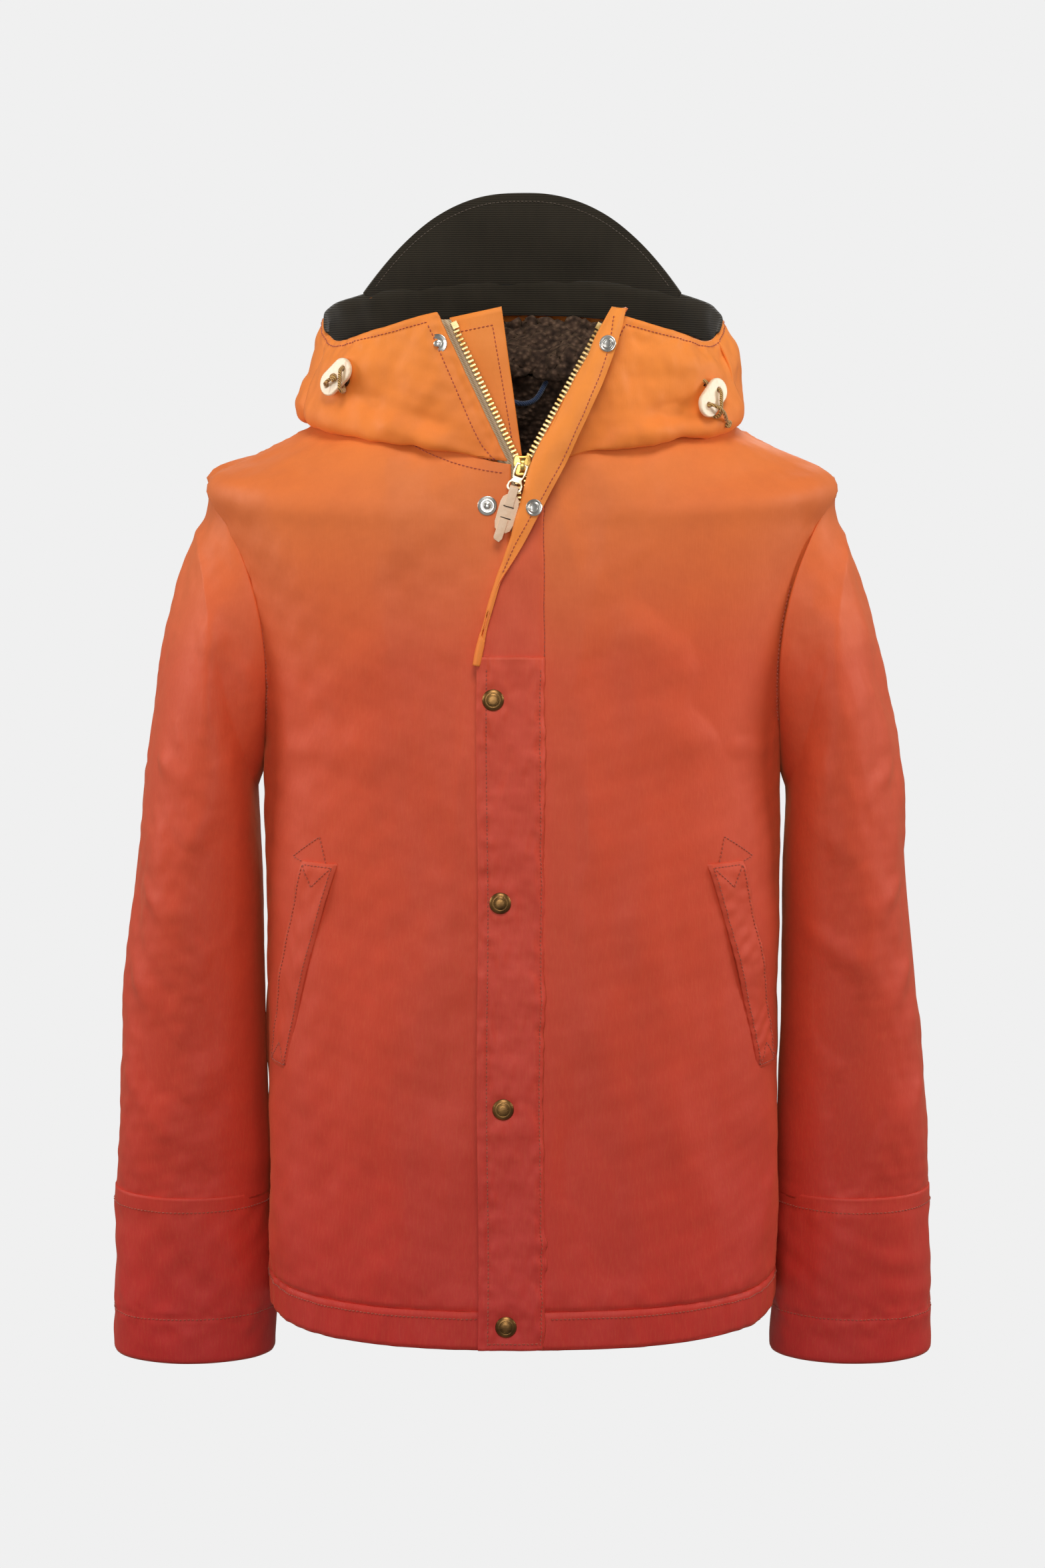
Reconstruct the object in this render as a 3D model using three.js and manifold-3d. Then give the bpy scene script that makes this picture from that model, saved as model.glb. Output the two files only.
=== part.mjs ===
// A hooded field jacket on an unseen body, hung by the loop in its neck. Millimetres, +Z up, -Y in front.
import * as THREE from 'three';
import { ParametricGeometry } from 'three/addons/geometries/ParametricGeometry.js';
import { mergeVertices } from 'three/addons/utils/BufferGeometryUtils.js';
import Module from 'manifold-3d';

const wasm = await Module();
wasm.setup();

// Overall sizes. Heights are measured up from the hem.
const bodyHalfWidth = 191;      // at the hem and the waist
const shoulderOverhang = 39;    // of the shoulders' ends past the body's sides
const shoulderHalfWidth = bodyHalfWidth + shoulderOverhang;
const neckHalfWidth = 98;
const hemDepth = 145;           // of the closed front line, in front of the side seams
const frontLean = 0.0545;       // how much the straight front line leans back for each mm of height
const backDepth = 128;
const shoulderHeight = 622;
const neckFront = 642;
const neckSide = 689;
const neckBack = 703;
const neckDepth = 72;           // of the neck seam behind the side seams
const hemBand = 29;

// Cloth and the room that pieces keep from each other.
const shellWall = 2;
const liningWall = 7;
const sleeveLiningWall = 2;
const seamGap = 0.4;
const layerGap = 0.8;
const liningGap = 3.2;          // round the body's padded lining
const sleeveLiningGap = 1.7;

// Sleeves.
const armholeHeight = 200;
const armholeDepth = 150;
const sleeveEnd = -49;
const cuffHeight = 128;
const cuffWidth = 123;
const cuffDepth = 88;
const cuffOverhang = 124;       // of the cuffs' outer edges past the body's sides
const cuffOuter = bodyHalfWidth + cuffOverhang;
const sleeveBack = 20;          // how far behind the side seams the cuff hangs

// Hood.
const hoodFoldHalf = 161;
const hoodRimHalf = 146;
const hoodRimFront = 104;
const hoodRimBack = 96;
const earAngle = 75;            // of the seam between the hood's front and its shell
const earHeight = 732;
const rimFrontHeight = 750;
const rimBackHeight = 767;
const hoodSag = 148;            // how far behind the side seams the laid-back crown reaches
const hoodSagHeight = 645;
const pileWall = 9;
const facingHeight = 24;
const visorHalf = 118;
const visorHeight = 66;

// Zip.
const panelEdge = 8;            // from the zip's middle to each front's edge
const toothWidth = 3;
const toothDepth = 3.4;
const rowSlot = 1.8;            // between the two rows, for the slider's post
const sliderHeight = neckFront;
const zipBottom = 8;
const veeRight = [-47, 738];
const veeLeft = [54, 738];
const tapeWidth = 13;

// Storm flap and its snaps.
const flapHinge = 14.5;
const flapWidth = 47;
const flapWall = 2;
const flapLift = 3.4;
const flapTurn = 500;           // height where the flap starts to turn back
const capDiameter = 15;
const studDiameter = 12.5;
const snapPlaces = [[-12, 19], [-14, 179], [-16, 329], [-21, 475]];

const materials = {
  cloth: new THREE.MeshStandardMaterial({ color: 0xc8452c, roughness: 0.7, metalness: 0 }),
  facing: new THREE.MeshStandardMaterial({ color: 0x2f2924, roughness: 0.8, metalness: 0 }),
  pile: new THREE.MeshStandardMaterial({ color: 0x53413a, roughness: 0.95, metalness: 0 }),
  lining: new THREE.MeshStandardMaterial({ color: 0x3a2f2a, roughness: 0.6, metalness: 0 }),
  tape: new THREE.MeshStandardMaterial({ color: 0xb7a585, roughness: 0.8, metalness: 0 }),
  brass: new THREE.MeshStandardMaterial({ color: 0xc9a74e, roughness: 0.3, metalness: 1 }),
  silver: new THREE.MeshStandardMaterial({ color: 0xc9c7c2, roughness: 0.3, metalness: 1 }),
  bronze: new THREE.MeshStandardMaterial({ color: 0x7a5a34, roughness: 0.35, metalness: 1 }),
  leather: new THREE.MeshStandardMaterial({ color: 0xe1c59b, roughness: 0.6, metalness: 0 }),
  cord: new THREE.MeshStandardMaterial({ color: 0xb89350, roughness: 0.85, metalness: 0 }),
  loop: new THREE.MeshStandardMaterial({ color: 0x274a7a, roughness: 0.8, metalness: 0 }),
};

const coat = new THREE.Group();
const rad = THREE.MathUtils.degToRad;

// ---------- from geometry to closed solids and back ----------

function solid(geometry) {
  const bare = geometry.clone();
  bare.deleteAttribute('normal');
  bare.deleteAttribute('uv');
  const merged = mergeVertices(bare, 1e-4);
  const place = merged.attributes.position;
  const faces = [];
  let volume = 0;
  const corner = [new THREE.Vector3(), new THREE.Vector3(), new THREE.Vector3()];
  for (let i = 0; i < merged.index.count; i += 3) {
    const [a, b, c] = [0, 1, 2].map((k) => merged.index.getX(i + k));
    if (a === b || b === c || c === a) continue;
    [a, b, c].forEach((v, k) => corner[k].fromBufferAttribute(place, v));
    volume += corner[0].dot(corner[1].clone().cross(corner[2]));
    faces.push([a, b, c]);
  }
  const triVerts = new Uint32Array(faces.flatMap((f) => (volume < 0 ? [f[0], f[2], f[1]] : f)));
  return new wasm.Manifold(new wasm.Mesh({ numProp: 3, vertProperties: place.array, triVerts }));
}

function add(name, shape, material, parent = coat) {
  const { vertProperties, triVerts } = shape.getMesh();
  const geometry = new THREE.BufferGeometry();
  geometry.setAttribute('position', new THREE.BufferAttribute(vertProperties, 3));
  geometry.setIndex(new THREE.BufferAttribute(triVerts, 1));
  geometry.computeVertexNormals();
  const mesh = new THREE.Mesh(geometry, material);
  mesh.name = name;
  parent.add(mesh);
  return mesh;
}

const largest = (shape) => shape.decompose().sort((a, b) => b.volume() - a.volume())[0];
const moved = (shape, matrix) => shape.transform(matrix.elements);
const mirrored = (shape) => shape.mirror([1, 0, 0]);

// A sheet of even thickness: surface(u, v) is one face and the other lies `wall` along its normal.
function sheet(surface, wall, columns, rows, ring = false) {
  const step = 1e-4;
  const [p, q, r, s] = [0, 1, 2, 3].map(() => new THREE.Vector3());
  const face = (u, v, depth, target) => {
    surface(Math.min(u + step, ring ? 2 : 1), v, p);
    surface(Math.max(u - step, ring ? -1 : 0), v, q);
    surface(u, Math.min(v + step, 1), r);
    surface(u, Math.max(v - step, 0), s);
    const normal = p.clone().sub(q).cross(r.clone().sub(s)).normalize();
    surface(u, v, target);
    target.addScaledVector(normal, depth);
  };
  const wide = ring ? columns : columns + 2;
  const loop = 2 * rows + 2;
  const at = (u, v, target) => {
    const i = Math.round(u * wide);
    const j = Math.round(v * loop) % loop;
    const edge = !ring && (i === 0 || i === wide);
    const across = ring ? (i % columns) / columns : THREE.MathUtils.clamp(i - 1, 0, columns) / columns;
    const second = j > rows;
    const along = (second ? 2 * rows + 1 - j : j) / rows;
    face(across, along, edge ? wall / 2 : second ? wall : 0, target);
  };
  return solid(new ParametricGeometry(at, wide, loop));
}

// A smooth curve through rows of numbers, read at a fractional row.
function between(rows, place) {
  const last = rows.length - 1;
  const k = Math.min(Math.floor(place), last - 1);
  const t = place - k;
  const get = (i) => rows[THREE.MathUtils.clamp(i, 0, last)];
  return rows[0].map((_, c) => {
    const [a, b, d, e] = [get(k - 1)[c], get(k)[c], get(k + 1)[c], get(k + 2)[c]];
    const cubic = (3 * b - a - 3 * d + e) * t + 2 * a - 5 * b + 4 * d - e;
    return 0.5 * ((cubic * t + d - a) * t + 2 * b);
  });
}

const power = (value, exponent) => Math.sign(value) * Math.abs(value) ** exponent;
const frontAt = (height) => hemDepth - frontLean * height;

function box(low, high) {
  const size = high.map((v, i) => v - low[i]);
  const shape = new THREE.BoxGeometry(...size);
  shape.translate(...low.map((v, i) => v + size[i] / 2));
  return solid(shape);
}

function cylinder(radius, length, matrix, sides = 24) {
  return moved(solid(new THREE.CylinderGeometry(radius, radius, length, sides)), matrix);
}

// A prism of an outline in x and z, cut along y.
function prism(outline, y0, y1) {
  const shape = new THREE.Shape(outline.map(([x, z]) => new THREE.Vector2(x, z)));
  const geometry = new THREE.ExtrudeGeometry(shape, { depth: y1 - y0, bevelEnabled: false, curveSegments: 10 });
  geometry.rotateX(Math.PI / 2);
  geometry.translate(0, y1, 0);
  return solid(geometry);
}

// ---------- the body's surface ----------

// Each ring: height in front, at the side and behind; half-width; depth behind; squareness.
const upperBody = shoulderHeight - armholeHeight;
const bodyRings = [
  [0, 0, 0, bodyHalfWidth, backDepth - 2, 2.5],
  [hemBand, hemBand, hemBand, bodyHalfWidth + 1, backDepth, 2.5],
  ...[0.25, 0.5, 0.75].map((t) => [1, 1, 1].map(() => hemBand + (upperBody - hemBand) * t)
    .concat(bodyHalfWidth - 1, backDepth + 4 * t, 2.5)),
  [upperBody, upperBody, upperBody, bodyHalfWidth + 1, backDepth, 2.4],
  ...[0.3, 0.6, 0.85].map((t) => [1, 1, 1].map(() => upperBody + armholeHeight * t)
    .concat(bodyHalfWidth + 2 + (shoulderHalfWidth - bodyHalfWidth) * t ** 1.5, backDepth - 10 * t, 2.4 - 0.2 * t)),
  [shoulderHeight - 17, shoulderHeight, shoulderHeight - 2, shoulderHalfWidth, backDepth - 16, 2.2],
  ...[0.25, 0.55, 0.8, 1].map((t) => [
    shoulderHeight - 17 + (neckFront - shoulderHeight + 17) * t,
    shoulderHeight + (neckSide - shoulderHeight) * (1.15 * t - 0.15 * t * t),
    shoulderHeight - 2 + (neckBack - shoulderHeight + 2) * t,
    shoulderHalfWidth + (neckHalfWidth - shoulderHalfWidth) * t,
    backDepth - 16 - 40 * t, 2.2 - 0.2 * t]),
];
const lastRing = bodyRings.length - 1;

// The point at an angle from the front, growing to the wearer's left, and at a fractional ring.
function bodyPoint(angle, ring, target) {
  const [front, side, back, half, behind, square] = between(bodyRings, ring);
  const [s, c] = [Math.sin(angle), Math.cos(angle)];
  const height = side + ((c > 0 ? front : back) - side) * c * c;
  const depth = c > 0 ? frontAt(height) : behind;
  return target.set(half * power(s, 2 / square), -depth * power(c, 2 / square), height);
}

function bodySheet(from, to, low, high, inset, wall, columns, rows) {
  const surface = (u, v, target) => bodyPoint(from + (to - from) * u, low + (high - low) * v, target);
  return insetSheet(surface, inset, wall, columns, rows);
}

// A sheet that starts `inset` inside the surface; a negative inset stands outside it.
function insetSheet(surface, inset, wall, columns, rows, ring = false) {
  const step = 1e-3;
  const [p, q, r, s] = [0, 1, 2, 3].map(() => new THREE.Vector3());
  const lowered = (u, v, target) => {
    surface(u + step, v, p);
    surface(u - step, v, q);
    surface(u, Math.min(v + step, 1), r);
    surface(u, Math.max(v - step, 0), s);
    const out = p.clone().sub(q).cross(r.clone().sub(s)).normalize();
    return surface(u, v, target).addScaledVector(out, -inset);
  };
  return sheet(inset ? lowered : surface, -wall, columns, rows, ring);
}

// The body's half-width at a depth and a height below the shoulder.
function bodySide(y, height) {
  let [low, high] = [0, lastRing - 4];
  for (let i = 0; i < 30; i++) {
    const middle = (low + high) / 2;
    if (between(bodyRings, middle)[1] < height) low = middle;
    else high = middle;
  }
  const [, , , half, behind, square] = between(bodyRings, low);
  const share = Math.min(Math.abs(y) / (y < 0 ? frontAt(height) : behind), 1);
  return half * (1 - share ** square) ** (1 / square);
}

// ---------- body: hem band, three panels and lining ----------

const armholeMiddle = [5, upperBody + armholeHeight / 2];
function armholeCut(grow) {
  const across = new THREE.Matrix4().makeScale(1, armholeDepth / 2 + grow, armholeHeight / 2 + grow)
    .setPosition(0, ...armholeMiddle);
  const drum = new THREE.Matrix4().makeRotationZ(Math.PI / 2);
  return [-1, 1].map((side) => {
    const shape = new THREE.CylinderGeometry(1, 1, shoulderHalfWidth, 36);
    shape.applyMatrix4(drum);
    shape.translate(side * (shoulderHalfWidth / 2 + bodyHalfWidth * 0.6), 0, 0);
    shape.applyMatrix4(across);
    return solid(shape);
  });
}
const armholes = armholeCut(-shellWall);
const zipStrip = box([-panelEdge, -300, -100], [panelEdge, 0, 900]);
const quarter = Math.PI / 2;
const seamTurn = seamGap / 2 / bodyHalfWidth;
const seamRing = seamGap / hemBand / 2;

function frontPanel(side) {
  const whole = bodySheet(...(side < 0 ? [-quarter + seamTurn, 0] : [0, quarter - seamTurn]),
    1 + seamRing, lastRing, 0, shellWall, 10, 12);
  return whole.subtract(zipStrip).subtract(armholes[side < 0 ? 0 : 1]);
}
let panelRight = frontPanel(-1);
let panelLeft = frontPanel(1);
const backTurns = [quarter + seamTurn, 3 * quarter - seamTurn];
const panelBack = bodySheet(...backTurns, 1 + seamRing, lastRing, 0, shellWall, 18, 12)
  .subtract(armholes[0]).subtract(armholes[1]);
add('back_panel', panelBack, materials.cloth);

let hem = bodySheet(0, 4 * quarter, 0, 1 - seamRing, 0, shellWall, 42, 1).subtract(zipStrip);

const liningInset = shellWall + liningGap;
const liningEdge = 34;
const liningArmholes = armholeCut(3);
let bodyLining = bodySheet(0, 4 * quarter, 1, lastRing - 1, liningInset, liningWall, 32, 11)
  .subtract(box([-liningEdge, -300, -100], [liningEdge, 0, 900]))
  .subtract(liningArmholes[0]).subtract(liningArmholes[1]);

// ---------- sleeves and cuffs ----------

// Each row: outer x and height, inner x and height, half the depth, middle of the depth.
const cuffTop = sleeveEnd + cuffHeight;
const innerTop = bodyHalfWidth + 8;
const sleeveRow = (outerFall, out, inn, innerFall, wider, middle) => [
  shoulderHalfWidth + out, shoulderHeight - outerFall * (shoulderHeight - cuffTop), innerTop + inn,
  upperBody - innerFall * (upperBody - cuffTop), armholeDepth / 2 + wider, middle];
const sleeveRows = [
  [shoulderHalfWidth, shoulderHeight - 1, bodyHalfWidth + 3, upperBody, armholeDepth / 2, armholeMiddle[0]],
  sleeveRow(0.068, 14, -1, 0.087, 1, 8),
  sleeveRow(0.147, 27, 0, 0.18, 0, 10),
  sleeveRow(0.267, 42, 0, 0.315, -3, 12),
  sleeveRow(0.414, 55, 0, 0.466, -8, 14),
  sleeveRow(0.562, 62, 0, 0.618, -13, 16),
  sleeveRow(0.715, 71, -1, 0.738, -19, 18),
  sleeveRow(0.867, 77, -2, 0.878, -24, sleeveBack - 1),
  [cuffOuter - 3, cuffTop, cuffOuter + 3 - cuffWidth, cuffTop, cuffDepth / 2 + 3, sleeveBack],
  [cuffOuter, sleeveEnd, cuffOuter - cuffWidth, sleeveEnd, cuffDepth / 2, sleeveBack],
];
const cuffRow = sleeveRows.length - 2;
const sewnGap = 2.7;             // from the body's surface to the edge sewn to it

function sleevePoint(angle, row, target) {
  const [xo, zo, xi, zi, half, middle] = between(sleeveRows, row);
  const c = Math.cos(angle);
  const y = middle - half * Math.sin(angle);
  const height = (zo + zi) / 2 + ((zo - zi) / 2) * c;
  const sewn = Math.max(1 - row, 0);
  const flat = (xo + xi) / 2 + ((xo - xi) / 2) * c;
  const x = sewn > 0 ? sewn * (bodySide(y, height) + sewnGap) + (1 - sewn) * flat : flat;
  return target.set(x, y, height);
}
function sleeveRing(low, high, inset, wall, columns, rows) {
  const surface = (u, v, target) => sleevePoint(4 * quarter * u, low + (high - low) * v, target);
  return insetSheet(surface, inset, wall, columns, rows, true);
}
const rowGap = seamGap / cuffHeight / 2;
const sleeveShape = sleeveRing(0, cuffRow - rowGap, 0, shellWall, 20, cuffRow);
const cuffShape = sleeveRing(cuffRow + rowGap, cuffRow + 1, 0, shellWall, 20, 1);
const sleeveLiningInset = shellWall + sleeveLiningGap;
const sleeveLiningShape = sleeveRing(1, cuffRow + 0.9, sleeveLiningInset, sleeveLiningWall, 20, cuffRow);
for (const [side, turn] of [['left', (s) => s], ['right', mirrored]]) {
  add(side + '_sleeve', turn(sleeveShape), materials.cloth);
  add(side + '_cuff', turn(cuffShape), materials.cloth);
  add(side + '_sleeve_lining', turn(sleeveLiningShape), materials.lining);
}

// ---------- hood ----------

// Heights round the hood from the front to the back, every eighth of a half turn.
const neckLine = [0, 1, 2, 3, 4, 5, 6, 7, 8].map((k) => {
  const c = Math.cos(k * Math.PI / 8);
  return [neckSide + ((c > 0 ? neckFront : neckBack) - neckSide) * c * c + sewnGap / 2];
});
const rimLine = [rimFrontHeight + 1, rimFrontHeight, rimFrontHeight - 13, earHeight - 5, earHeight + 9,
  earHeight + 19, rimBackHeight - 8, rimBackHeight - 2, rimBackHeight].map((h) => [h]);
const foldLine = [neckFront + 18, neckFront + 16, neckFront + 18, neckFront + 24, neckSide - 21, neckSide - 27,
  hoodSagHeight + 8, hoodSagHeight + 2, hoodSagHeight].map((h) => [h]);
const wallLine = [...foldLine.keys()].map((k) => [0.45 * foldLine[k][0] + 0.55 * rimLine[k][0]]);

function roundHood(line, angle) {
  return between(line, Math.min(Math.abs(angle) / (Math.PI / 8), 7.9999))[0];
}
// The point at an angle from the front and a share of the way from the neck seam to the rim.
function hoodPoint(angle, share, target) {
  const turn = ((angle + Math.PI) % (2 * Math.PI) + 2 * Math.PI) % (2 * Math.PI) - Math.PI;
  const rows = [
    [neckHalfWidth, neckDepth, roundHood(neckLine, turn)],
    [hoodFoldHalf, hoodSag, roundHood(foldLine, turn)],
    [hoodFoldHalf - 3, (hoodSag + hoodRimBack) / 2 + 4, roundHood(wallLine, turn)],
    [hoodRimHalf, hoodRimBack, roundHood(rimLine, turn)],
  ];
  const [half, behind, height] = between(rows, share * 3);
  const c = Math.cos(turn);
  return target.set(half * Math.sin(turn), -(c > 0 ? frontAt(height) : behind) * c, height);
}
const ear = rad(earAngle);
const earTurn = seamGap / 2 / hoodFoldHalf;
function hoodSheet(from, to, low, high, inset, wall, columns, rows) {
  const surface = (u, v, target) => hoodPoint(from + (to - from) * u, low + (high - low) * v, target);
  return inset ? insetSheet(surface, inset, wall, columns, rows) : sheet(surface, -wall, columns, rows);
}

// The two fronts part along the zip; each edge keeps beside its row of teeth.
const veeFoot = sliderHeight + 3;
const rowX = (side, height) => {
  const [topX, top] = side < 0 ? veeRight : veeLeft;
  const foot = rowSlot / 2 + toothWidth / 2;
  const open = Math.max(height - veeFoot, 0) / (top - veeFoot);
  return side * (foot + (Math.abs(topX) - foot) * open);
};
const veeCut = (side) => prism([
  [0, 600], [side * panelEdge, 600], [side * panelEdge, veeFoot],
  [rowX(side, 800) + side * (panelEdge + 1), 800], [-side * 60, 800], [-side * 60, 600]], -300, 0);

const eyeletTurn = rad(54);
const eyeletShare = 0.66;
const eyeletRadius = 4;
function surfaceFrame(point, angle, share, lift) {
  const [p, q, r, s, middle] = [0, 1, 2, 3, 4].map(() => new THREE.Vector3());
  point(angle + 0.01, share, p);
  point(angle - 0.01, share, q);
  point(angle, share + 0.01, r);
  point(angle, share - 0.01, s);
  const out = p.clone().sub(q).cross(r.sub(s)).normalize();
  const across = p.sub(q).normalize();
  const up = out.clone().cross(across);
  point(angle, share, middle).addScaledVector(out, lift);
  return new THREE.Matrix4().makeBasis(across, up, out).setPosition(middle);
}
const alongZ = new THREE.Matrix4().makeRotationX(quarter);
const eyeletFrame = (side) => surfaceFrame(hoodPoint, side * eyeletTurn, eyeletShare, 0);

const hoodFronts = new Map();
for (const [name, side] of [['right', -1], ['left', 1]]) {
  const range = side < 0 ? [-ear + earTurn, 0] : [0, ear - earTurn];
  const hole = cylinder(eyeletRadius, 12, eyeletFrame(side).multiply(alongZ));
  hoodFronts.set(side, hoodSheet(...range, 0, 1, 0, shellWall, 11, 9).subtract(veeCut(side)).subtract(hole));
}
const shellShape = hoodSheet(ear + earTurn, 4 * quarter - ear - earTurn, 0.015, 1, 0, shellWall, 26, 9);
add('hood_shell', shellShape, materials.cloth);

// Inside the hood: pile from the neck up, and a dark facing below the rim.
const innerInset = shellWall + layerGap;
const liningDrop = 13;          // from the facing down to the pile's upper edge
function innerPoint(angle, share, target) {
  const rim = hoodPoint(angle, 1, new THREE.Vector3());
  const neck = hoodPoint(angle, 0, new THREE.Vector3());
  const shrink = (v, by) => v.multiply(new THREE.Vector3(1 - by / hoodRimHalf, 1 - by / hoodRimFront, 1));
  shrink(rim, innerInset);
  shrink(neck, innerInset + 6).setZ(neck.z + 4);
  rim.z -= facingHeight + liningDrop;
  return target.copy(neck).lerp(rim, share);
}
function facingPoint(angle, share, target) {
  hoodPoint(angle, 1, target);
  target.x *= 1 - innerInset / hoodRimHalf;
  target.y *= 1 - innerInset / hoodRimFront;
  target.z -= (facingHeight - layerGap) * (1 - share);
  return target;
}
const innerSheet = (point, from, to, wall, columns, rows) =>
  sheet((u, v, target) => point(from + (to - from) * u, v, target), -wall, columns, rows);
const backRange = [ear + 3 * earTurn, 4 * quarter - ear - 3 * earTurn];
add('hood_lining', innerSheet(innerPoint, ...backRange, pileWall, 18, 3), materials.pile);
add('hood_facing', innerSheet(facingPoint, ...backRange, shellWall / 2, 26, 1), materials.facing);
for (const [name, side] of [['right', -1], ['left', 1]]) {
  const range = side < 0 ? [-ear + 3 * earTurn, -0.1] : [0.1, ear - 3 * earTurn];
  add('hood_front_lining_' + name,
    innerSheet(innerPoint, ...range, pileWall / 2, 8, 3).subtract(veeCut(side))
      .subtract(box([veeRight[0] - 13, -300, 0], [veeLeft[0], 0, 900])), materials.pile);
}

// The visor stands on the back of the rim.
const visorShape = sheet((u, v, target) => {
  const x = visorHalf * (2 * u - 1);
  const turn = Math.PI - Math.asin(x / hoodRimHalf);
  hoodPoint(turn, 1, target);
  const foot = target.z + layerGap;
  const top = rimBackHeight + visorHeight - (visorHeight + 4) * Math.abs(x / visorHalf) ** 2.4;
  return target.set(x, target.y - shellWall / 2, foot + (top - foot) * v);
}, shellWall, 20, 2);
add('visor', visorShape, materials.facing);

// ---------- storm flap ----------

// How far the fronts' surface falls back, at x and a height, from the straight front line.
function fallBack(x, height) {
  const point = new THREE.Vector3();
  const onBody = height < neckFront;
  const [surface, top] = onBody ? [bodyPoint, lastRing] : [hoodPoint, 1];
  let turn = Math.asin(Math.min(Math.abs(x) / (onBody ? bodyHalfWidth : hoodRimHalf), 1));
  for (let pass = 0; pass < 14; pass++) {
    let [low, high] = [0, top];
    for (let i = 0; i < 22; i++) {
      const middle = (low + high) / 2;
      if (surface(turn, middle, point).z < height) low = middle;
      else high = middle;
    }
    turn += (Math.abs(x) - point.x) / (onBody ? bodyHalfWidth : hoodRimHalf);
    turn = THREE.MathUtils.clamp(turn, 0, 1.4);
  }
  return frontAt(height) + point.y;
}
// A point `out` in front of the fronts' surface.
const onFront = (x, out, height) => new THREE.Vector3(x, fallBack(x, height) - frontAt(height) - out, height);

const front = new THREE.Group();
front.position.set(0, -hemDepth, 0);
front.rotation.x = -Math.atan(frontLean);
coat.add(front);
front.updateMatrixWorld(true);
const alongFront = Math.cos(front.rotation.x);
const frontPlace = (x, out, height) => front.matrixWorld.clone()
  .multiply(new THREE.Matrix4().makeTranslation(x, -out, height / alongFront));
const shank = 2;

const flapOut = flapLift + flapWall;
const flapOutline = [
  [flapHinge, seamGap], [flapHinge, flapOut], [flapHinge - flapWidth, flapOut],
  [flapHinge - flapWidth, flapLift], [flapHinge - flapWall, flapLift], [flapHinge - flapWall, seamGap]];
function flapShape() {
  const shape = new THREE.Shape(flapOutline.map(([x, out]) => new THREE.Vector2(x, -out)));
  const length = (flapTurn - 1) / alongFront;
  const geometry = new THREE.ExtrudeGeometry(shape, { depth: length, bevelEnabled: false });
  geometry.translate(0, 0, 1 / alongFront);
  return solid(geometry);
}
let flap = flapShape();
for (const [x, height] of snapPlaces) {
  const place = new THREE.Matrix4().makeTranslation(x, 0, height / alongFront);
  flap = flap.subtract(cylinder(shank + 0.3, 30, place, 12));
}
add('storm_flap', flap, materials.cloth, front);

// Above the last closed snap the flap turns back like a lapel. Each row: height, roll line, free edge, its lift.
const lapelRows = [
  [flapTurn + seamGap, flapHinge - flapWidth, flapHinge - flapWidth + 1.5, flapOut + 0.6],
  [flapTurn + 25, -27, -26, 8], [556, -18, -17, 8.4], [583, -9, -1, 9], [610, 0, 13, 12],
  [641, 8, 29, 15], [671, 22, 43, 18], [702, 39, 57, 19], [726, 52, 66, 19], [rimFrontHeight + 2, 66, 73, 18],
];
function lapelSection(row) {
  const [height, roll, edge, lift] = between(lapelRows, row);
  const hinge = Math.max(flapHinge, rowX(1, height) + 12);
  const base = Math.max(roll, Math.min(rowX(1, height) + 4, hinge - 5));
  const left = height > veeFoot ? base : roll;
  return [[hinge, seamGap], [hinge, flapOut], [edge + 0.8, Math.max(lift - 0.5, flapOut + 0.3)],
    [edge - 0.8, lift + 0.8], [left, flapOut + 0.2], [left, flapLift], [hinge - flapWall, flapLift],
    [hinge - flapWall, seamGap]].map(([x, out]) => onFront(x, out, height));
}
// A solid lofted through closed sections of equally many points, capped at both ends.
function loft(section, rows) {
  const sections = Array.from({ length: rows + 1 }, (_, k) => section(k / rows));
  const count = sections[0].length;
  const points = sections.flat();
  const faces = [];
  for (let k = 0; k < rows; k++) {
    for (let i = 0; i < count; i++) {
      const [a, b] = [k * count + i, k * count + (i + 1) % count];
      faces.push(a, b, b + count, a, b + count, a + count);
    }
  }
  const caps = (ring, offset, turned) => {
    const flat = ring.map((p) => new THREE.Vector2(p.x, p.y));
    for (const [a, b, c] of THREE.ShapeUtils.triangulateShape(flat, [])) {
      faces.push(...(turned ? [offset + a, offset + c, offset + b] : [offset + a, offset + b, offset + c]));
    }
  };
  const turned = THREE.ShapeUtils.isClockWise(sections[0].map((p) => new THREE.Vector2(p.x, p.y)));
  caps(sections[0], 0, !turned);
  caps(sections[rows], rows * count, turned);
  const geometry = new THREE.BufferGeometry().setFromPoints(points);
  geometry.setIndex(faces);
  return solid(geometry);
}
let lapel = loft((t) => lapelSection(t * (lapelRows.length - 1)), 18);

// ---------- snaps ----------

// Profiles of radius and height above the cloth's outer face, turned on the snap's own axis.
const turnedPart = (profile, sides = 12) => {
  const geometry = new THREE.LatheGeometry(profile.map(([r, z]) => new THREE.Vector2(r, z)), sides);
  geometry.rotateX(quarter);
  return solid(geometry);
};
const capRadius = capDiameter / 2;
const capRise = 2.2;
const socketHeight = 1.2;
const capShape = (cloth) => turnedPart([
  [0, capRise], [capRadius * 0.55, capRise * 0.86], [capRadius * 0.85, capRise * 0.55], [capRadius, 0.5],
  [capRadius, 0.3], [shank, 0.3], [shank, -cloth - 0.3], [capRadius * 0.8, -cloth - 0.3],
  [capRadius * 0.8, -cloth - 0.3 - socketHeight], [2.7, -cloth - 0.3 - socketHeight],
  [2.7, -cloth - 0.5], [0, -cloth - 0.5]]);
const studRadius = studDiameter / 2;
const studShape = (post) => turnedPart([
  [0, post], [1.9, post], [2.1, post - 0.7], [1.8, 1.2], [studRadius * 0.75, 1.1], [studRadius, 0.9],
  [studRadius, 0.6], [shank, 0.6], [shank, 0.3 - shellWall], [0, 0.3 - shellWall]], 12);

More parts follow.
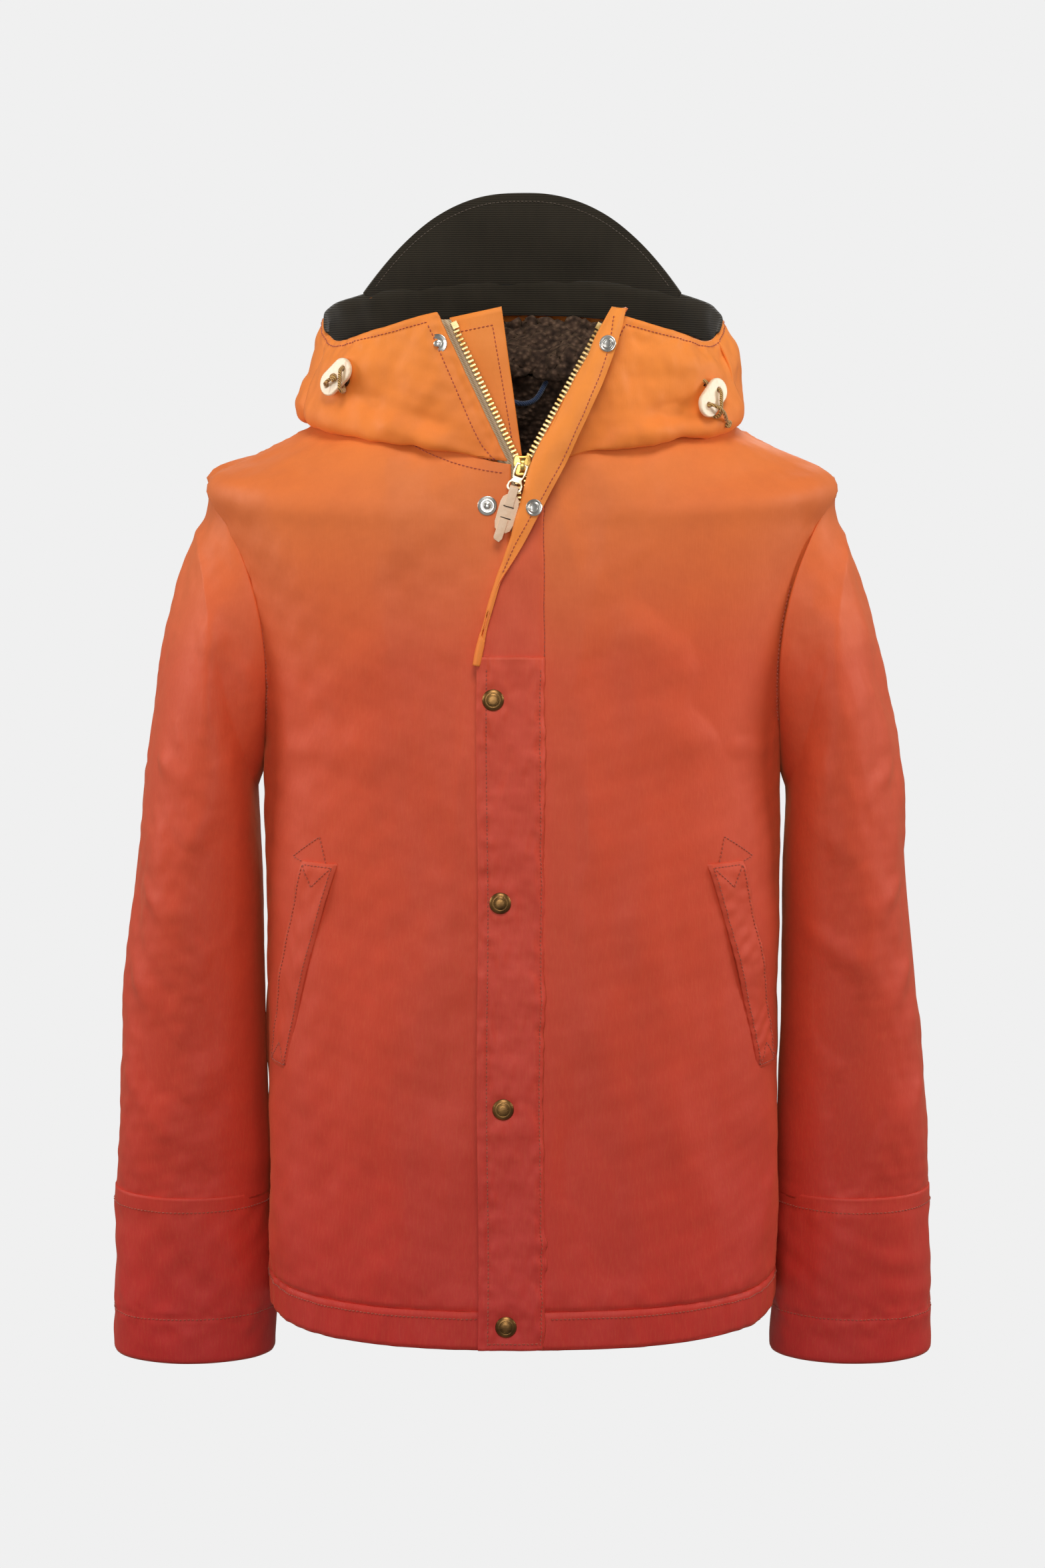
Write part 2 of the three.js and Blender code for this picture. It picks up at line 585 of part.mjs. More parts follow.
const flapCap = capShape(flapWall);
const flapStud = studShape(flapLift - 1.1);
function addToFront(name, shape, material, x, out, height) {
  const piece = add(name, shape, material, front);
  piece.position.set(x, -out, height / alongFront);
  piece.rotation.x = quarter;
}
snapPlaces.forEach(([x, height], k) => {
  addToFront('snap_cap_' + (k + 1), flapCap, materials.bronze, x, flapOut, height);
  addToFront('snap_stud_' + (k + 1), flapStud, materials.silver, x, -fallBack(x, height), height);
});

// The two open snaps: their studs on the wearer's right, their caps and sockets in the turned-back flap.
const openStuds = [[-25, 613], [-60, 727]];
const studHoles = [];
openStuds.forEach(([x, height], k) => {
  const slope = (fallBack(Math.abs(x) + 3, height) - fallBack(Math.abs(x) - 3, height)) / 6;
  const turn = new THREE.Matrix4().makeRotationZ(-Math.atan(slope))
    .multiply(new THREE.Matrix4().makeRotationX(quarter - Math.atan(frontLean)));
  const place = turn.setPosition(onFront(x, 0, height));
  studHoles.push(cylinder(shank + 0.3, 30, place.clone().multiply(alongZ), 12));
  const piece = add('snap_stud_' + (k + 5), studShape(2.6), materials.silver);
  piece.applyMatrix4(place);
});

let [hoodRight, hoodLeft] = [hoodFronts.get(-1), hoodFronts.get(1)];
for (const [x, height] of snapPlaces) {
  const hole = cylinder(shank + 0.3, 30, frontPlace(x, 0, height), 12);
  panelRight = panelRight.subtract(hole);
}
panelRight = panelRight.subtract(studHoles[0]);
hoodRight = hoodRight.subtract(studHoles[1]);
hem = hem.subtract(cylinder(shank + 0.3, 30, frontPlace(snapPlaces[0][0], 0, snapPlaces[0][1]), 12));
add('hem_band', hem, materials.cloth);
add('hood_front_right', hoodRight, materials.cloth);
add('hood_front_left', hoodLeft, materials.cloth);

// The sockets of the open snaps sit on the turned-back face, half-way from the roll to the free edge.
const socketShape = turnedPart([
  [2.7, 0.3], [5.4, 0.3], [5.6, 0.8], [4.6, 1.5], [3.2, 1.6], [2.7, 1.1], [2.7, 0.3]]);
openStuds.forEach(([, height], k) => {
  const count = lapelRows.length - 1;
  let row = 0;
  while (row < count && between(lapelRows, row)[0] < height) row += 0.01;
  const section = lapelSection(row);
  const [edge, roll] = [section[3], section[4]];
  const across = edge.clone().sub(roll).normalize();
  const along = lapelSection(row + 0.1)[4].sub(lapelSection(row - 0.1)[4]).normalize();
  const face = along.clone().cross(across).normalize();
  if (face.y > 0) face.negate();
  const up = face.clone().cross(across);
  const place = new THREE.Matrix4().makeBasis(across, up, face)
    .setPosition(edge.clone().lerp(roll, 0.5).addScaledVector(face, seamGap));
  add('snap_socket_' + (k + 5), socketShape, materials.silver).applyMatrix4(place);
});
add('storm_flap_top', lapel, materials.cloth);

// ---------- pockets: a slanted welt over a slit, and a bag behind it ----------

const weltLow = 193;
const weltHigh = 352;
const weltInner = [62.8, 40.2];   // degrees from the front, at the low and the high end
const weltOuter = [76, 53.6];
const weltWall = 1.6;
const bagReach = 26;              // how many degrees the bag runs towards the front
const bagRoom = 7;
const bagWall = 1;
const slitWidth = 4.5;            // degrees
const ringAt = (height) => {
  let [low, high] = [1, lastRing - 5];
  for (let i = 0; i < 30; i++) {
    const middle = (low + high) / 2;
    if (between(bodyRings, middle)[1] < height) low = middle;
    else high = middle;
  }
  return low;
};
const slanted = (side, from, to, low, high) => (u, v, target) => {
  const height = low + (high - low) * v;
  const t = (height - weltLow) / (weltHigh - weltLow);
  const at = ([a, b], shift) => a + (b - a) * t + shift;
  const [a0, a1] = [at(...from), at(...to)];
  const turn = side > 0 ? a0 + (a1 - a0) * u : -(a1 + (a0 - a1) * u);
  return bodyPoint(rad(turn), ringAt(height), target);
};
const pocketSheet = (side, from, to, low, high, inset, wall, columns, rows) =>
  insetSheet(slanted(side, from, to, low, high), inset, wall, columns, rows);

for (const [name, side] of [['right', -1], ['left', 1]]) {
  const bagInset = shellWall + seamGap + 0.4;
  const bagDepth = 2 * bagWall + bagRoom;
  const from = [weltInner, -bagReach];
  const to = [weltOuter, -1];
  const [low, high] = [weltLow - 25, weltHigh + 8];
  const hollow = pocketSheet(side, [weltInner, 1 - bagReach], [weltOuter, 6], low + 2, high - 2,
    bagInset + bagWall, bagRoom, 5, 3);
  const bag = pocketSheet(side, from, to, low, high, bagInset, bagDepth, 5, 3).subtract(hollow);
  const slit = pocketSheet(side, [weltOuter, -1 - slitWidth], [weltOuter, -1],
    weltLow + 6, weltHigh - 6, -1, 6, 1, 2);
  add('pocket_bag_' + name, bag, materials.lining);
  const room = pocketSheet(side, [weltInner, -bagReach - 1], [weltOuter, 0], low - 2, high + 2,
    shellWall, bagDepth + 1.5, 5, 3);
  bodyLining = bodyLining.subtract(room);
  if (side < 0) panelRight = panelRight.subtract(slit);
  else panelLeft = panelLeft.subtract(slit);
  add('pocket_welt_' + name, pocketSheet(side, [weltInner, 0], [weltOuter, 0], weltLow, weltHigh,
    -layerGap - weltWall, weltWall, 4, 5), materials.cloth);
}
add('front_panel_right', largest(panelRight), materials.cloth);
add('front_panel_left', largest(panelLeft), materials.cloth);
add('body_lining', largest(bodyLining), materials.pile);

// ---------- zip ----------

const veeTop = Math.max(veeRight[1], veeLeft[1]) + 6;
const tapeWall = 1;
const tapeOut = -shellWall - layerGap - 0.5;
const toothOut = tapeOut - tapeWall / 2 + toothDepth / 2;
const strip = (xAt, out, low, high, wall, columns, rows) => sheet((u, v, target) => {
  const height = low + (high - low) * v;
  const [a, b] = xAt(height);
  return target.copy(onFront(a + (b - a) * u, out, height));
}, -wall, columns, rows);
function zipHalf(side) {
  const order = (a, b) => (a < b ? [a, b] : [b, a]);
  const inner = toothWidth / 2 + 0.5;
  const beside = (from, to) => (height) => order(rowX(side, height) + from, rowX(side, height) + to);
  const row = beside(-toothWidth / 2, toothWidth / 2);
  const teeth = strip(row, toothOut, zipBottom, veeFoot + 0.5, toothDepth, 1, 8)
    .add(strip(row, toothOut, veeFoot, veeTop - 4, toothDepth, 1, 6));
  const tape = beside(side * inner, side * (inner + tapeWidth));
  return [strip(tape, tapeOut, zipBottom, veeTop, tapeWall, 1, 14), teeth];
}
for (const [name, side] of [['right', -1], ['left', 1]]) {
  const [tape, teeth] = zipHalf(side);
  add('zip_tape_' + name, tape, materials.tape);
  add('zip_teeth_' + name, teeth, materials.brass);
}
const boxHalf = rowSlot / 2 + toothWidth + 1;
const retainerShape = box(
  [-boxHalf, -toothOut - 0.6, -7], [boxHalf, -toothOut + toothDepth + 0.6, -seamGap]);
const retainer = add('zip_retainer', retainerShape, materials.brass, front);
retainer.position.z = zipBottom / alongFront;

// The slider's plates lie in front of and behind the rows, and a thin post between them parts the rows.
const plateWall = 2.4;
const plateGap = 0.5;
const backOut = toothOut - toothDepth;
const plateOutline = [[-5.2, -7], [5.2, -7], [6.6, 2], [5.4, 6.5], [-5.4, 6.5], [-6.6, 2]];
const bridgeHole = [3.2, 5.6];
const sliderShape = prism(plateOutline, -(toothOut + plateGap + plateWall), -(toothOut + plateGap))
  .add(prism(plateOutline, -(backOut - plateGap), -(backOut - plateGap - plateWall)))
  .add(box([-0.6, -(toothOut + plateGap + 1), 1.6], [0.6, -(backOut - plateGap - 1), 6.2]))
  .add(box([-1.4, -6.6, -4], [1.4, 0, 4]))
  .subtract(box([-2, -bridgeHole[1], -2.2], [2, -bridgeHole[0], 2.2]));
const slider = new THREE.Group();
slider.position.set(0, 0, sliderHeight / alongFront);
front.add(slider);
add('zip_slider', sliderShape, materials.brass, slider);

// The tab hangs from the slider's bridge, and the leather pull is looped through its eye.
const pivotOut = (bridgeHole[0] + bridgeHole[1]) / 2;
const tabHalf = 4.8;
const tabWall = 1.1;
const eyeLow = -19.9;
const eyeBar = 1.6;
const tabTilt = rad(20);
const pullTilt = rad(-4);
const tabOutline = [[-tabHalf, 0.6], [tabHalf, 0.6], [tabHalf, -7], [3.4, -11], [5.6, -14], [5.6, eyeLow + 2],
  [4, eyeLow], [-4, eyeLow], [-5.6, eyeLow + 2], [-5.6, -14], [-3.4, -11], [-tabHalf, -7]];
const tabShape = prism(tabOutline, -tabWall / 2, tabWall / 2)
  .subtract(box([-3.1, -3, -9], [3.1, 3, -0.6]))
  .subtract(box([-3.9, -3, eyeLow + eyeBar], [3.9, 3, -13.6]));
const tab = new THREE.Group();
tab.position.set(0, -pivotOut, 0);
tab.rotation.set(Math.atan(frontLean), tabTilt, 0);
slider.add(tab);
add('zip_tab', tabShape, materials.brass, tab);

const pullLength = 34;
const pullHalf = 5.8;
const loopRoom = 1.45;
const strapWall = 1.2;
const pull = new THREE.Group();
const barMiddle = eyeLow + eyeBar / 2;
pull.position.set(0, 0, barMiddle);
pull.rotation.y = pullTilt;
tab.add(pull);
const loopOut = loopRoom + strapWall;
const loopShape = box([-2.2, -loopOut, -loopOut - 1], [2.2, loopOut, loopOut])
  .subtract(box([-4, -loopRoom, -loopRoom], [4, loopRoom, loopRoom]));
const pullOutline = [[-pullHalf + 2, -2.5], [pullHalf - 2, -2.5], [pullHalf, -6], [pullHalf, -pullLength + 8],
  [4, -pullLength + 4], [4, -pullLength], [-1.5, -pullLength - 2], [-4, -pullLength + 1], [-4, -pullLength + 4],
  [-pullHalf, -pullLength + 8], [-pullHalf, -6]];
add('zip_pull', loopShape.add(prism(pullOutline, -loopOut - 1.9, -loopOut + 0.3)), materials.leather, pull);

// Behind the right-hand row a guard keeps the wind out.
const guardOut = backOut - plateGap - plateWall - 0.8;
const guardTop = rimFrontHeight + 3;
const guardEdges = (height) => {
  const rise = THREE.MathUtils.clamp((height - veeFoot) / (guardTop - veeFoot), 0, 1);
  const narrow = THREE.MathUtils.clamp((height - 560) / (veeFoot - 560), 0, 1);
  return [-30 - 24 * rise, 18 - 18 * narrow - 15 * rise];
};
add('wind_guard', strip(guardEdges, guardOut, zipBottom, guardTop, 1.5, 3, 16), materials.cloth);

// ---------- drawcord, eyelets and toggles ----------

const cordRadius = 1.35;
const toggleWall = 3;
const toggleOut = 5.2;
const toggleLength = 33;
const toggleWidth = 18.5;
const knotRadius = 3.1;

const tube = (points, radius, steps, sides = 8) => {
  const ring = new THREE.Shape(Array.from({ length: sides }, (_, k) => {
    const turn = 2 * Math.PI * k / sides;
    return new THREE.Vector2(radius * Math.cos(turn), radius * Math.sin(turn));
  }));
  const path = new THREE.CatmullRomCurve3(points.map((p) => new THREE.Vector3(...p)), false, 'centripetal');
  return solid(new THREE.ExtrudeGeometry(ring, { steps, extrudePath: path, bevelEnabled: false }));
};

// Routes from each eyelet in its own frame: across, up and out from the cloth; the last point meets the knot.
const cordRoutes = {
  right: { side: -1, middle: [-2.5, 1.5], tilt: 35, holes: 9.6, knot: [0.3, 0.2, 11.9], points: [
    [0, 0, -3], [0, 0, 1], [0.8, -2.5, 3.2], [2.6, -6, 3.3], [4.4, -8.8, 4.6], [5.1, -9.6, 7], [5.1, -7.6, 9.8],
    [5.3, -3, 10.4], [5.4, 2, 10.4], [5.4, 5.6, 10.3], [5.3, 7.1, 8.6], [5.3, 7.1, 5.4], [4.2, 6.9, 3.4],
    [0, 5.6, 3.3], [-5, 2.2, 3.3], [-9, -2.4, 3.4], [-10.3, -4, 5.4], [-10.3, -4, 8.4], [-9.6, -3.6, 10.4],
    [-6.5, -2, 11.5], [-3.1, -0.8, 11.8]] },
  left: { side: 1, middle: [5.5, -13.3], tilt: 46, holes: 7.9, knot: [22.4, -31.2, 4.6], points: [
    [0, 0, -3], [0, 0, 1], [2, -1.4, 3], [6, -4.4, 3.3], [9.6, -6.8, 3.6], [11, -7.6, 5.4], [11, -7.6, 8.6],
    [10.8, -10, 10.2], [10.5, -14.6, 10.3], [10.3, -19.6, 10.2], [10.2, -24.2, 9.3], [9.8, -26.8, 6.4],
    [7.6, -26, 3.6], [3.6, -22.2, 3.2], [0.8, -19.6, 3.8], [0, -19, 5.6], [0, -19, 8.6],
    [0.9, -19.4, 11], [4.6, -21.2, 13], [10, -24.4, 12.6], [15, -27.2, 9.6], [19.4, -29.6, 6.2]] },
};
const eyeletShape = solid(new THREE.LatheGeometry([
  [2.4, -shellWall - 1.2], [5.2, -shellWall - 1.2], [5.2, -shellWall - 0.6], [eyeletRadius - 0.4, -shellWall - 0.6],
  [eyeletRadius - 0.4, 0.7], [5.6, 0.7], [5.2, 1.3], [3.4, 1.5], [2.4, 0.4], [2.4, -shellWall - 1.2],
].map(([r, z]) => new THREE.Vector2(r, z)), 16).rotateX(quarter));
function toggleShape({ middle, tilt, holes }) {
  const reach = (toggleLength - toggleWidth) / 2;
  const shape = new THREE.Shape();
  shape.absarc(reach, 0, toggleWidth / 2, -quarter, quarter, false);
  shape.absarc(-reach, 0, toggleWidth / 2, quarter, 3 * quarter, false);
  const plate = new THREE.ExtrudeGeometry(shape, { depth: toggleWall, bevelEnabled: false, curveSegments: 9 });
  const through = (x) => new THREE.Matrix4().makeRotationX(quarter).setPosition(x, 0, 0);
  const hole = (x) => cylinder(cordRadius + 0.5, 20, through(x), 12);
  const place = new THREE.Matrix4().makeRotationZ(rad(tilt)).setPosition(...middle, toggleOut);
  return moved(solid(plate).subtract(hole(holes)).subtract(hole(-holes)), place);
}
for (const [name, route] of Object.entries(cordRoutes)) {
  const end = new THREE.Group();
  end.applyMatrix4(eyeletFrame(route.side));
  coat.add(end);
  add('eyelet_' + name, eyeletShape, materials.bronze, end);
  add('cord_end_' + name, tube(route.points, cordRadius, 36), materials.cord, end);
  add('toggle_' + name, toggleShape(route), materials.leather, end);
  const ball = solid(new THREE.SphereGeometry(knotRadius - 0.3, 12, 8));
  const knot = add('cord_knot_' + name, ball, materials.cord, end);
  knot.position.set(...route.knot);
}

// ---------- hang loop ----------

const loopHalf = 24;
const loopDrop = 15;
const loopRadius = 2;
const loopBack = neckDepth - 5.5;
const loopEnd = (side) => [
  [side * loopHalf, loopBack, neckBack - 4], [side * loopHalf * 0.8, loopBack - 2.5, neckBack - 9],
  [side * loopHalf * 0.4, loopBack - 6, neckBack - 12 - loopDrop * 0.8]];
const loopMiddle = [0, loopBack - 8.5, neckBack - 12 - loopDrop];
const loopPoints = [...loopEnd(-1), loopMiddle, ...loopEnd(1).reverse()];
add('hang_loop', tube(loopPoints, loopRadius, 20), materials.loop);

// The coat's origin is the middle of its hang loop.
const [hangX, hangY, hangZ] = loopMiddle;
coat.position.set(-hangX, -hangY, -hangZ);

export default coat;
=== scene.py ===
import math

import bmesh
import bpy
import numpy as np
from mathutils import Matrix, Vector


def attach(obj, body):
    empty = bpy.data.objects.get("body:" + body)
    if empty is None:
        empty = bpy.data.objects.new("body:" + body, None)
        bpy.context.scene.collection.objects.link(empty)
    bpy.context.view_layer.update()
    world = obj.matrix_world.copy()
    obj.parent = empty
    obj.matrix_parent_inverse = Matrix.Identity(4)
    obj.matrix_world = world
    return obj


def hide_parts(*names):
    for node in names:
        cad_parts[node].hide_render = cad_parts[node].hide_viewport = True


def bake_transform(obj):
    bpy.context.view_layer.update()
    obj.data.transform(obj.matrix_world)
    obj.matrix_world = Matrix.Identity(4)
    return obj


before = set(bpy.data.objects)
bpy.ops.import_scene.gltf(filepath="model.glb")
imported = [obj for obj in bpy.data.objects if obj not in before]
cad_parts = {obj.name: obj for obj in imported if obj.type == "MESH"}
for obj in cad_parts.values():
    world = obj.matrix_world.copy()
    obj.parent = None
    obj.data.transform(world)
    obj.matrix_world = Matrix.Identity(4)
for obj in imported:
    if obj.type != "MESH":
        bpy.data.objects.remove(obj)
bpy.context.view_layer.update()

# ---------- Camera, light and floor ----------
# The coat hangs free in a pale studio, in soft light from above the camera, over a plain floor. The floor and
# the wall glow evenly, so that no horizon shows behind the coat.

eye = bpy.data.objects.new("camera", bpy.data.cameras.new("camera"))
bpy.context.collection.objects.link(eye)
eye.data.lens = 85
eye.data.sensor_width = 36
eye.data.sensor_fit = "AUTO"
eye.location = (0, -2.8008, 0.1534)
aim = Vector((0, -0.058, -0.281))
eye.rotation_euler = (aim - eye.location).to_track_quat("-Z", "Y").to_euler()
bpy.context.scene.camera = eye

bpy.context.scene.view_settings.view_transform = "Standard"
world = bpy.data.worlds.new("studio")
bpy.context.scene.world = world
world.use_nodes = True
world.node_tree.nodes["Background"].inputs["Color"].default_value = (1.0, 0.98, 0.96, 1)
world.node_tree.nodes["Background"].inputs["Strength"].default_value = 0.22


def soft_light(name, place, target, size, power, colour=(1, 1, 1)):
    lamp = bpy.data.objects.new(name, bpy.data.lights.new(name, "AREA"))
    bpy.context.collection.objects.link(lamp)
    lamp.data.shape = "DISK"
    lamp.data.size = size
    lamp.data.energy = power
    lamp.data.color = colour
    lamp.location = place
    lamp.rotation_euler = (Vector(target) - Vector(place)).to_track_quat("-Z", "Y").to_euler()


soft_light("top_light", (0.1, -1.7, 1.9), (0, 0, -0.2), 1.1, 33, (1, 0.97, 0.93))
soft_light("front_light", (-0.3, -3.4, 0.2), (0, 0, -0.4), 1.2, 26)
soft_light("right_edge_light", (-2.0, -0.1, 0.3), (-0.25, 0, -0.35), 0.9, 17, (1, 0.96, 0.9))
soft_light("left_edge_light", (2.0, -0.1, 0.3), (0.25, 0, -0.35), 0.9, 17, (1, 0.96, 0.9))
soft_light("back_light", (0.3, 3.2, 1.4), (0, 0, -0.3), 1.4, 40)

bpy.ops.mesh.primitive_plane_add(size=60, location=(0, 0, -1.3))
floor = bpy.context.object
floor.name = "floor"
bpy.ops.mesh.primitive_uv_sphere_add(segments=48, ring_count=24, radius=28, location=(0, 0, 0))
wall_round = bpy.context.object
wall_round.name = "studio_wall"
for backdrop in (floor, wall_round):
    backdrop.visible_diffuse = backdrop.visible_glossy = backdrop.visible_shadow = False


class Value:
    """A shader's socket, with which maths nodes are written as sums."""
    def __init__(self, finish, socket):
        self.finish, self.socket = finish, socket

    def maths(self, operation, other, turned=False):
        ends = (other, self) if turned else (self, other)
        return self.finish.node("ShaderNodeMath", {"operation": operation}, {0: ends[0], 1: ends[1]})

    def __add__(self, other):
        return self.maths("ADD", other)

    def __sub__(self, other):
        return self.maths("SUBTRACT", other)

    def __rsub__(self, other):
        return self.maths("SUBTRACT", other, True)

    def __mul__(self, other):
        return self.maths("MULTIPLY", other)

    __radd__, __rmul__ = __add__, __mul__


def linear(colour):
    parts = [c / 255 for c in colour]
    return [c / 12.92 if c <= 0.04045 else ((c + 0.055) / 1.055) ** 2.4 for c in parts] + [1]


class Finish:
    """A material whose nodes are added one call at a time."""

    def __init__(self, name, **constants):
        self.material = bpy.data.materials.new(name)
        self.material.use_nodes = True
        self.tree = self.material.node_tree
        self.shader = self.tree.nodes["Principled BSDF"]
        for socket, value in constants.items():
            self.shader.inputs[socket.replace("_", " ")].default_value = value
        coordinates = self.tree.nodes.new("ShaderNodeTexCoord")
        self.place = Value(self, coordinates.outputs["Object"])
        self.uv = Value(self, coordinates.outputs["UV"])

    def node(self, kind, settings=None, sockets=None, output=0):
        node = self.tree.nodes.new(kind)
        for name, value in (settings or {}).items():
            if name == "stops":
                ramp = node.color_ramp
                while len(ramp.elements) < len(value):
                    ramp.elements.new(0.5)
                for element, (where, colour) in zip(ramp.elements, value):
                    element.position = where
                    element.color = colour
            else:
                setattr(node, name, value)
        for name, value in (sockets or {}).items():
            if isinstance(value, Value):
                self.tree.links.new(value.socket, node.inputs[name])
            else:
                node.inputs[name].default_value = value
        return Value(self, node.outputs[output])

    def stretched(self, scale, place=None, turn=(0, 0, 0)):
        return self.node("ShaderNodeMapping", {},
                         {"Vector": place or self.place, "Scale": scale, "Rotation": turn})

    def noise(self, scale, detail=3, place=None, roughness=0.5):
        return self.node("ShaderNodeTexNoise", {}, {
            "Vector": place or self.place, "Scale": scale, "Detail": detail, "Roughness": roughness})

    def wave(self, direction, scale, profile="SIN", place=None, **sockets):
        settings = {"wave_type": "BANDS", "bands_direction": direction, "wave_profile": profile}
        return self.node("ShaderNodeTexWave", settings,
                         {"Vector": place or self.place, "Scale": scale, **sockets})

    def ramp(self, value, stops):
        return self.node("ShaderNodeValToRGB", {"stops": stops}, {"Fac": value})

    def tones(self, value, *stops):
        """A ramp of screen colours."""
        return self.ramp(value, [(where, linear(colour)) for where, colour in stops])

    def mix(self, share, a, b, kind="MIX"):
        return self.node("ShaderNodeMix", {"data_type": "RGBA", "blend_type": kind},
                         {0: share, 6: a, 7: b}, 2)

    def height(self, axis=2):
        return self.node("ShaderNodeSeparateXYZ", {}, {"Vector": self.place}, axis)

    def between(self, value, low, high):
        return self.node("ShaderNodeMapRange", {}, {"Value": value, "From Min": low, "From Max": high})

    def finish(self, colour=None, roughness=None, bump=None, depth=0.0002, strength=1.0):
        for socket, value in (("Base Color", colour), ("Roughness", roughness)):
            if isinstance(value, Value):
                self.tree.links.new(value.socket, self.shader.inputs[socket])
            elif value is not None:
                self.shader.inputs[socket].default_value = value
        if bump is not None:
            normal = self.node("ShaderNodeBump", {},
                               {"Height": bump, "Distance": depth, "Strength": strength})
            self.tree.links.new(normal.socket, self.shader.inputs["Normal"])
        return self.material


pale = Finish("studio_paint", Roughness=1.0, Specular_IOR_Level=0.0, Emission_Color=linear((240, 240, 240)),
              Emission_Strength=1.0)
studio_paint = pale.finish((0, 0, 0, 1))
for backdrop in (floor, wall_round):
    backdrop.data.materials.append(studio_paint)


# ---------- Drawcord ends, knots and toggles ----------
# A round braided cord comes out of an eyelet on each side of the hood. It goes through both holes of an oval
# horn-like toggle that grips it, and ends in a knot. The cord is limp.

MM = 0.001
loop_y, loop_z = 58, 676      # the hang loop, from the side seams and the hem


def placed(points):
    """Points in the coat's measures, from the side seams and the hem, to the frame in metres."""
    return (np.asarray(points, float) - [0, loop_y, loop_z]) * MM


to_frame = Matrix.Scale(MM, 4) @ Matrix.Translation((0, -loop_y, -loop_z))


def new_piece(name, mesh, material, body, *nodes, slot=None):
    piece = bpy.data.objects.new(name, mesh)
    bpy.context.collection.objects.link(piece)
    if material:
        mesh.materials.append(material)
    if body:
        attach(piece, body)
    if nodes:
        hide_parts(*nodes)
    return piece


def mesh_from_curve(name, curve):
    carrier = bpy.data.objects.new(name, curve)
    bpy.context.collection.objects.link(carrier)
    bpy.context.view_layer.update()
    mesh = bpy.data.meshes.new_from_object(carrier.evaluated_get(bpy.context.evaluated_depsgraph_get()))
    bpy.data.objects.remove(carrier)
    mesh.shade_smooth()
    return mesh


def flat_piece(name, outlines, thick, rounded, place):
    """A plate with rounded edges: closed outlines, the first round the others, and its middle's matrix."""
    curve = bpy.data.curves.new(name, "CURVE")
    curve.dimensions = "2D"
    curve.fill_mode = "BOTH"
    curve.extrude = thick / 2 - rounded
    curve.bevel_depth = rounded
    curve.bevel_resolution = 3
    curve.offset = -rounded
    for outline in outlines:
        line = curve.splines.new("POLY")
        line.points.add(len(outline) - 1)
        for point, (x, y) in zip(line.points, outline):
            point.co = (x, y, 0, 1)
        line.use_cyclic_u = True
    mesh = mesh_from_curve(name, curve)
    soft = bmesh.new()
    soft.from_mesh(mesh)
    bmesh.ops.remove_doubles(soft, verts=soft.verts, dist=1e-6)
    bmesh.ops.recalc_face_normals(soft, faces=soft.faces)
    bmesh.ops.transform(soft, matrix=place, verts=soft.verts)
    soft.to_mesh(mesh)
    soft.free()
    mesh.shade_smooth()
    mesh.name = name
    return mesh


def round_outline(radius, x):
    turns = [2 * math.pi * k / 28 for k in range(28)]
    return [(x + radius * math.cos(a), radius * math.sin(a)) for a in turns]


def frame_at(place, across, up, out):
    turn = Matrix((across, up, out)).transposed()
    return Matrix.Translation(place) @ turn.to_4x4()


cord = Finish("ochre_braid", Roughness=0.8, Sheen_Weight=0.4, Sheen_Roughness=0.4)
strands = cord.wave("DIAGONAL", 330.0, Distortion=2.0, Detail=2.0)
cord_braid = cord.finish(
    cord.tones(strands, (0, (120, 82, 36)), (0.6, (201, 152, 76)), (1, (226, 184, 112))),
    bump=strands, depth=0.0004)

horn = Finish("pale_horn", Roughness=0.35, Coat_Weight=0.3, Subsurface_Weight=0.15, Subsurface_Scale=0.002)
grain = horn.noise(60, 5, horn.stretched((1, 4, 1)))
horn_toggle = horn.finish(
    horn.tones(grain, (0.3, (233, 205, 168)), (0.55, (246, 226, 196)), (0.7, (222, 190, 150))),
    horn.ramp(grain, [(0.3, (0.3,) * 3 + (1,)), (0.7, (0.5,) * 3 + (1,))]), bump=grain, depth=0.0001)

eyelet_frames = {
    "right": frame_at((-0.127954, -0.120814, 0.023729), (0.731, -0.6771, 0.0843), (0.043, 0.169, 0.9847),
                      (-0.681, -0.7162, 0.1527)),
    "left": frame_at((0.127954, -0.120814, 0.023729), (0.731, 0.6771, -0.0843), (-0.043, 0.169, 0.9847),
                     (0.681, -0.7162, 0.1527))}
toggles = {
    "right": dict(middle=(-2.5, 1.5), tilt=35, holes=9.6, knot=(0.3, 0.2, 11.9)),
    "left": dict(middle=(5.5, -13.3), tilt=46, holes=7.9, knot=(22.4, -31.2, 4.6))}
cord_ways = {
    "right": [
        (0, 0, -3), (0, 0, 1), (0.8, -2.5, 3.2), (2.6, -6, 3.3), (4.4, -8.8, 4.6), (5.1, -9.6, 7),
        (5.1, -7.6, 9.8), (5.3, -3, 10.4), (5.4, 2, 10.4), (5.4, 5.6, 10.3), (5.3, 7.1, 8.6), (5.3, 7.1, 5.4),
        (4.2, 6.9, 3.4), (0, 5.6, 3.3), (-5, 2.2, 3.3), (-9, -2.4, 3.4), (-10.3, -4, 5.4), (-10.3, -4, 8.4),
        (-9.6, -3.6, 10.4), (-6.5, -2, 11.5), (-3.1, -0.8, 11.8)],
    "left": [
        (0, 0, -3), (0, 0, 1), (2, -1.4, 3), (6, -4.4, 3.3), (9.6, -6.8, 3.6), (11, -7.6, 5.4),
        (11, -7.6, 8.6), (10.8, -10, 10.2), (10.5, -14.6, 10.3), (10.3, -19.6, 10.2), (10.2, -24.2, 9.3),
        (9.8, -26.8, 6.4), (7.6, -26, 3.6), (3.6, -22.2, 3.2), (0.8, -19.6, 3.8), (0, -19, 5.6),
        (0, -19, 8.6), (0.9, -19.4, 11),
        (4.6, -21.2, 13), (10, -24.4, 12.6), (15, -27.2, 9.6), (19.4, -29.6, 6.2)]}
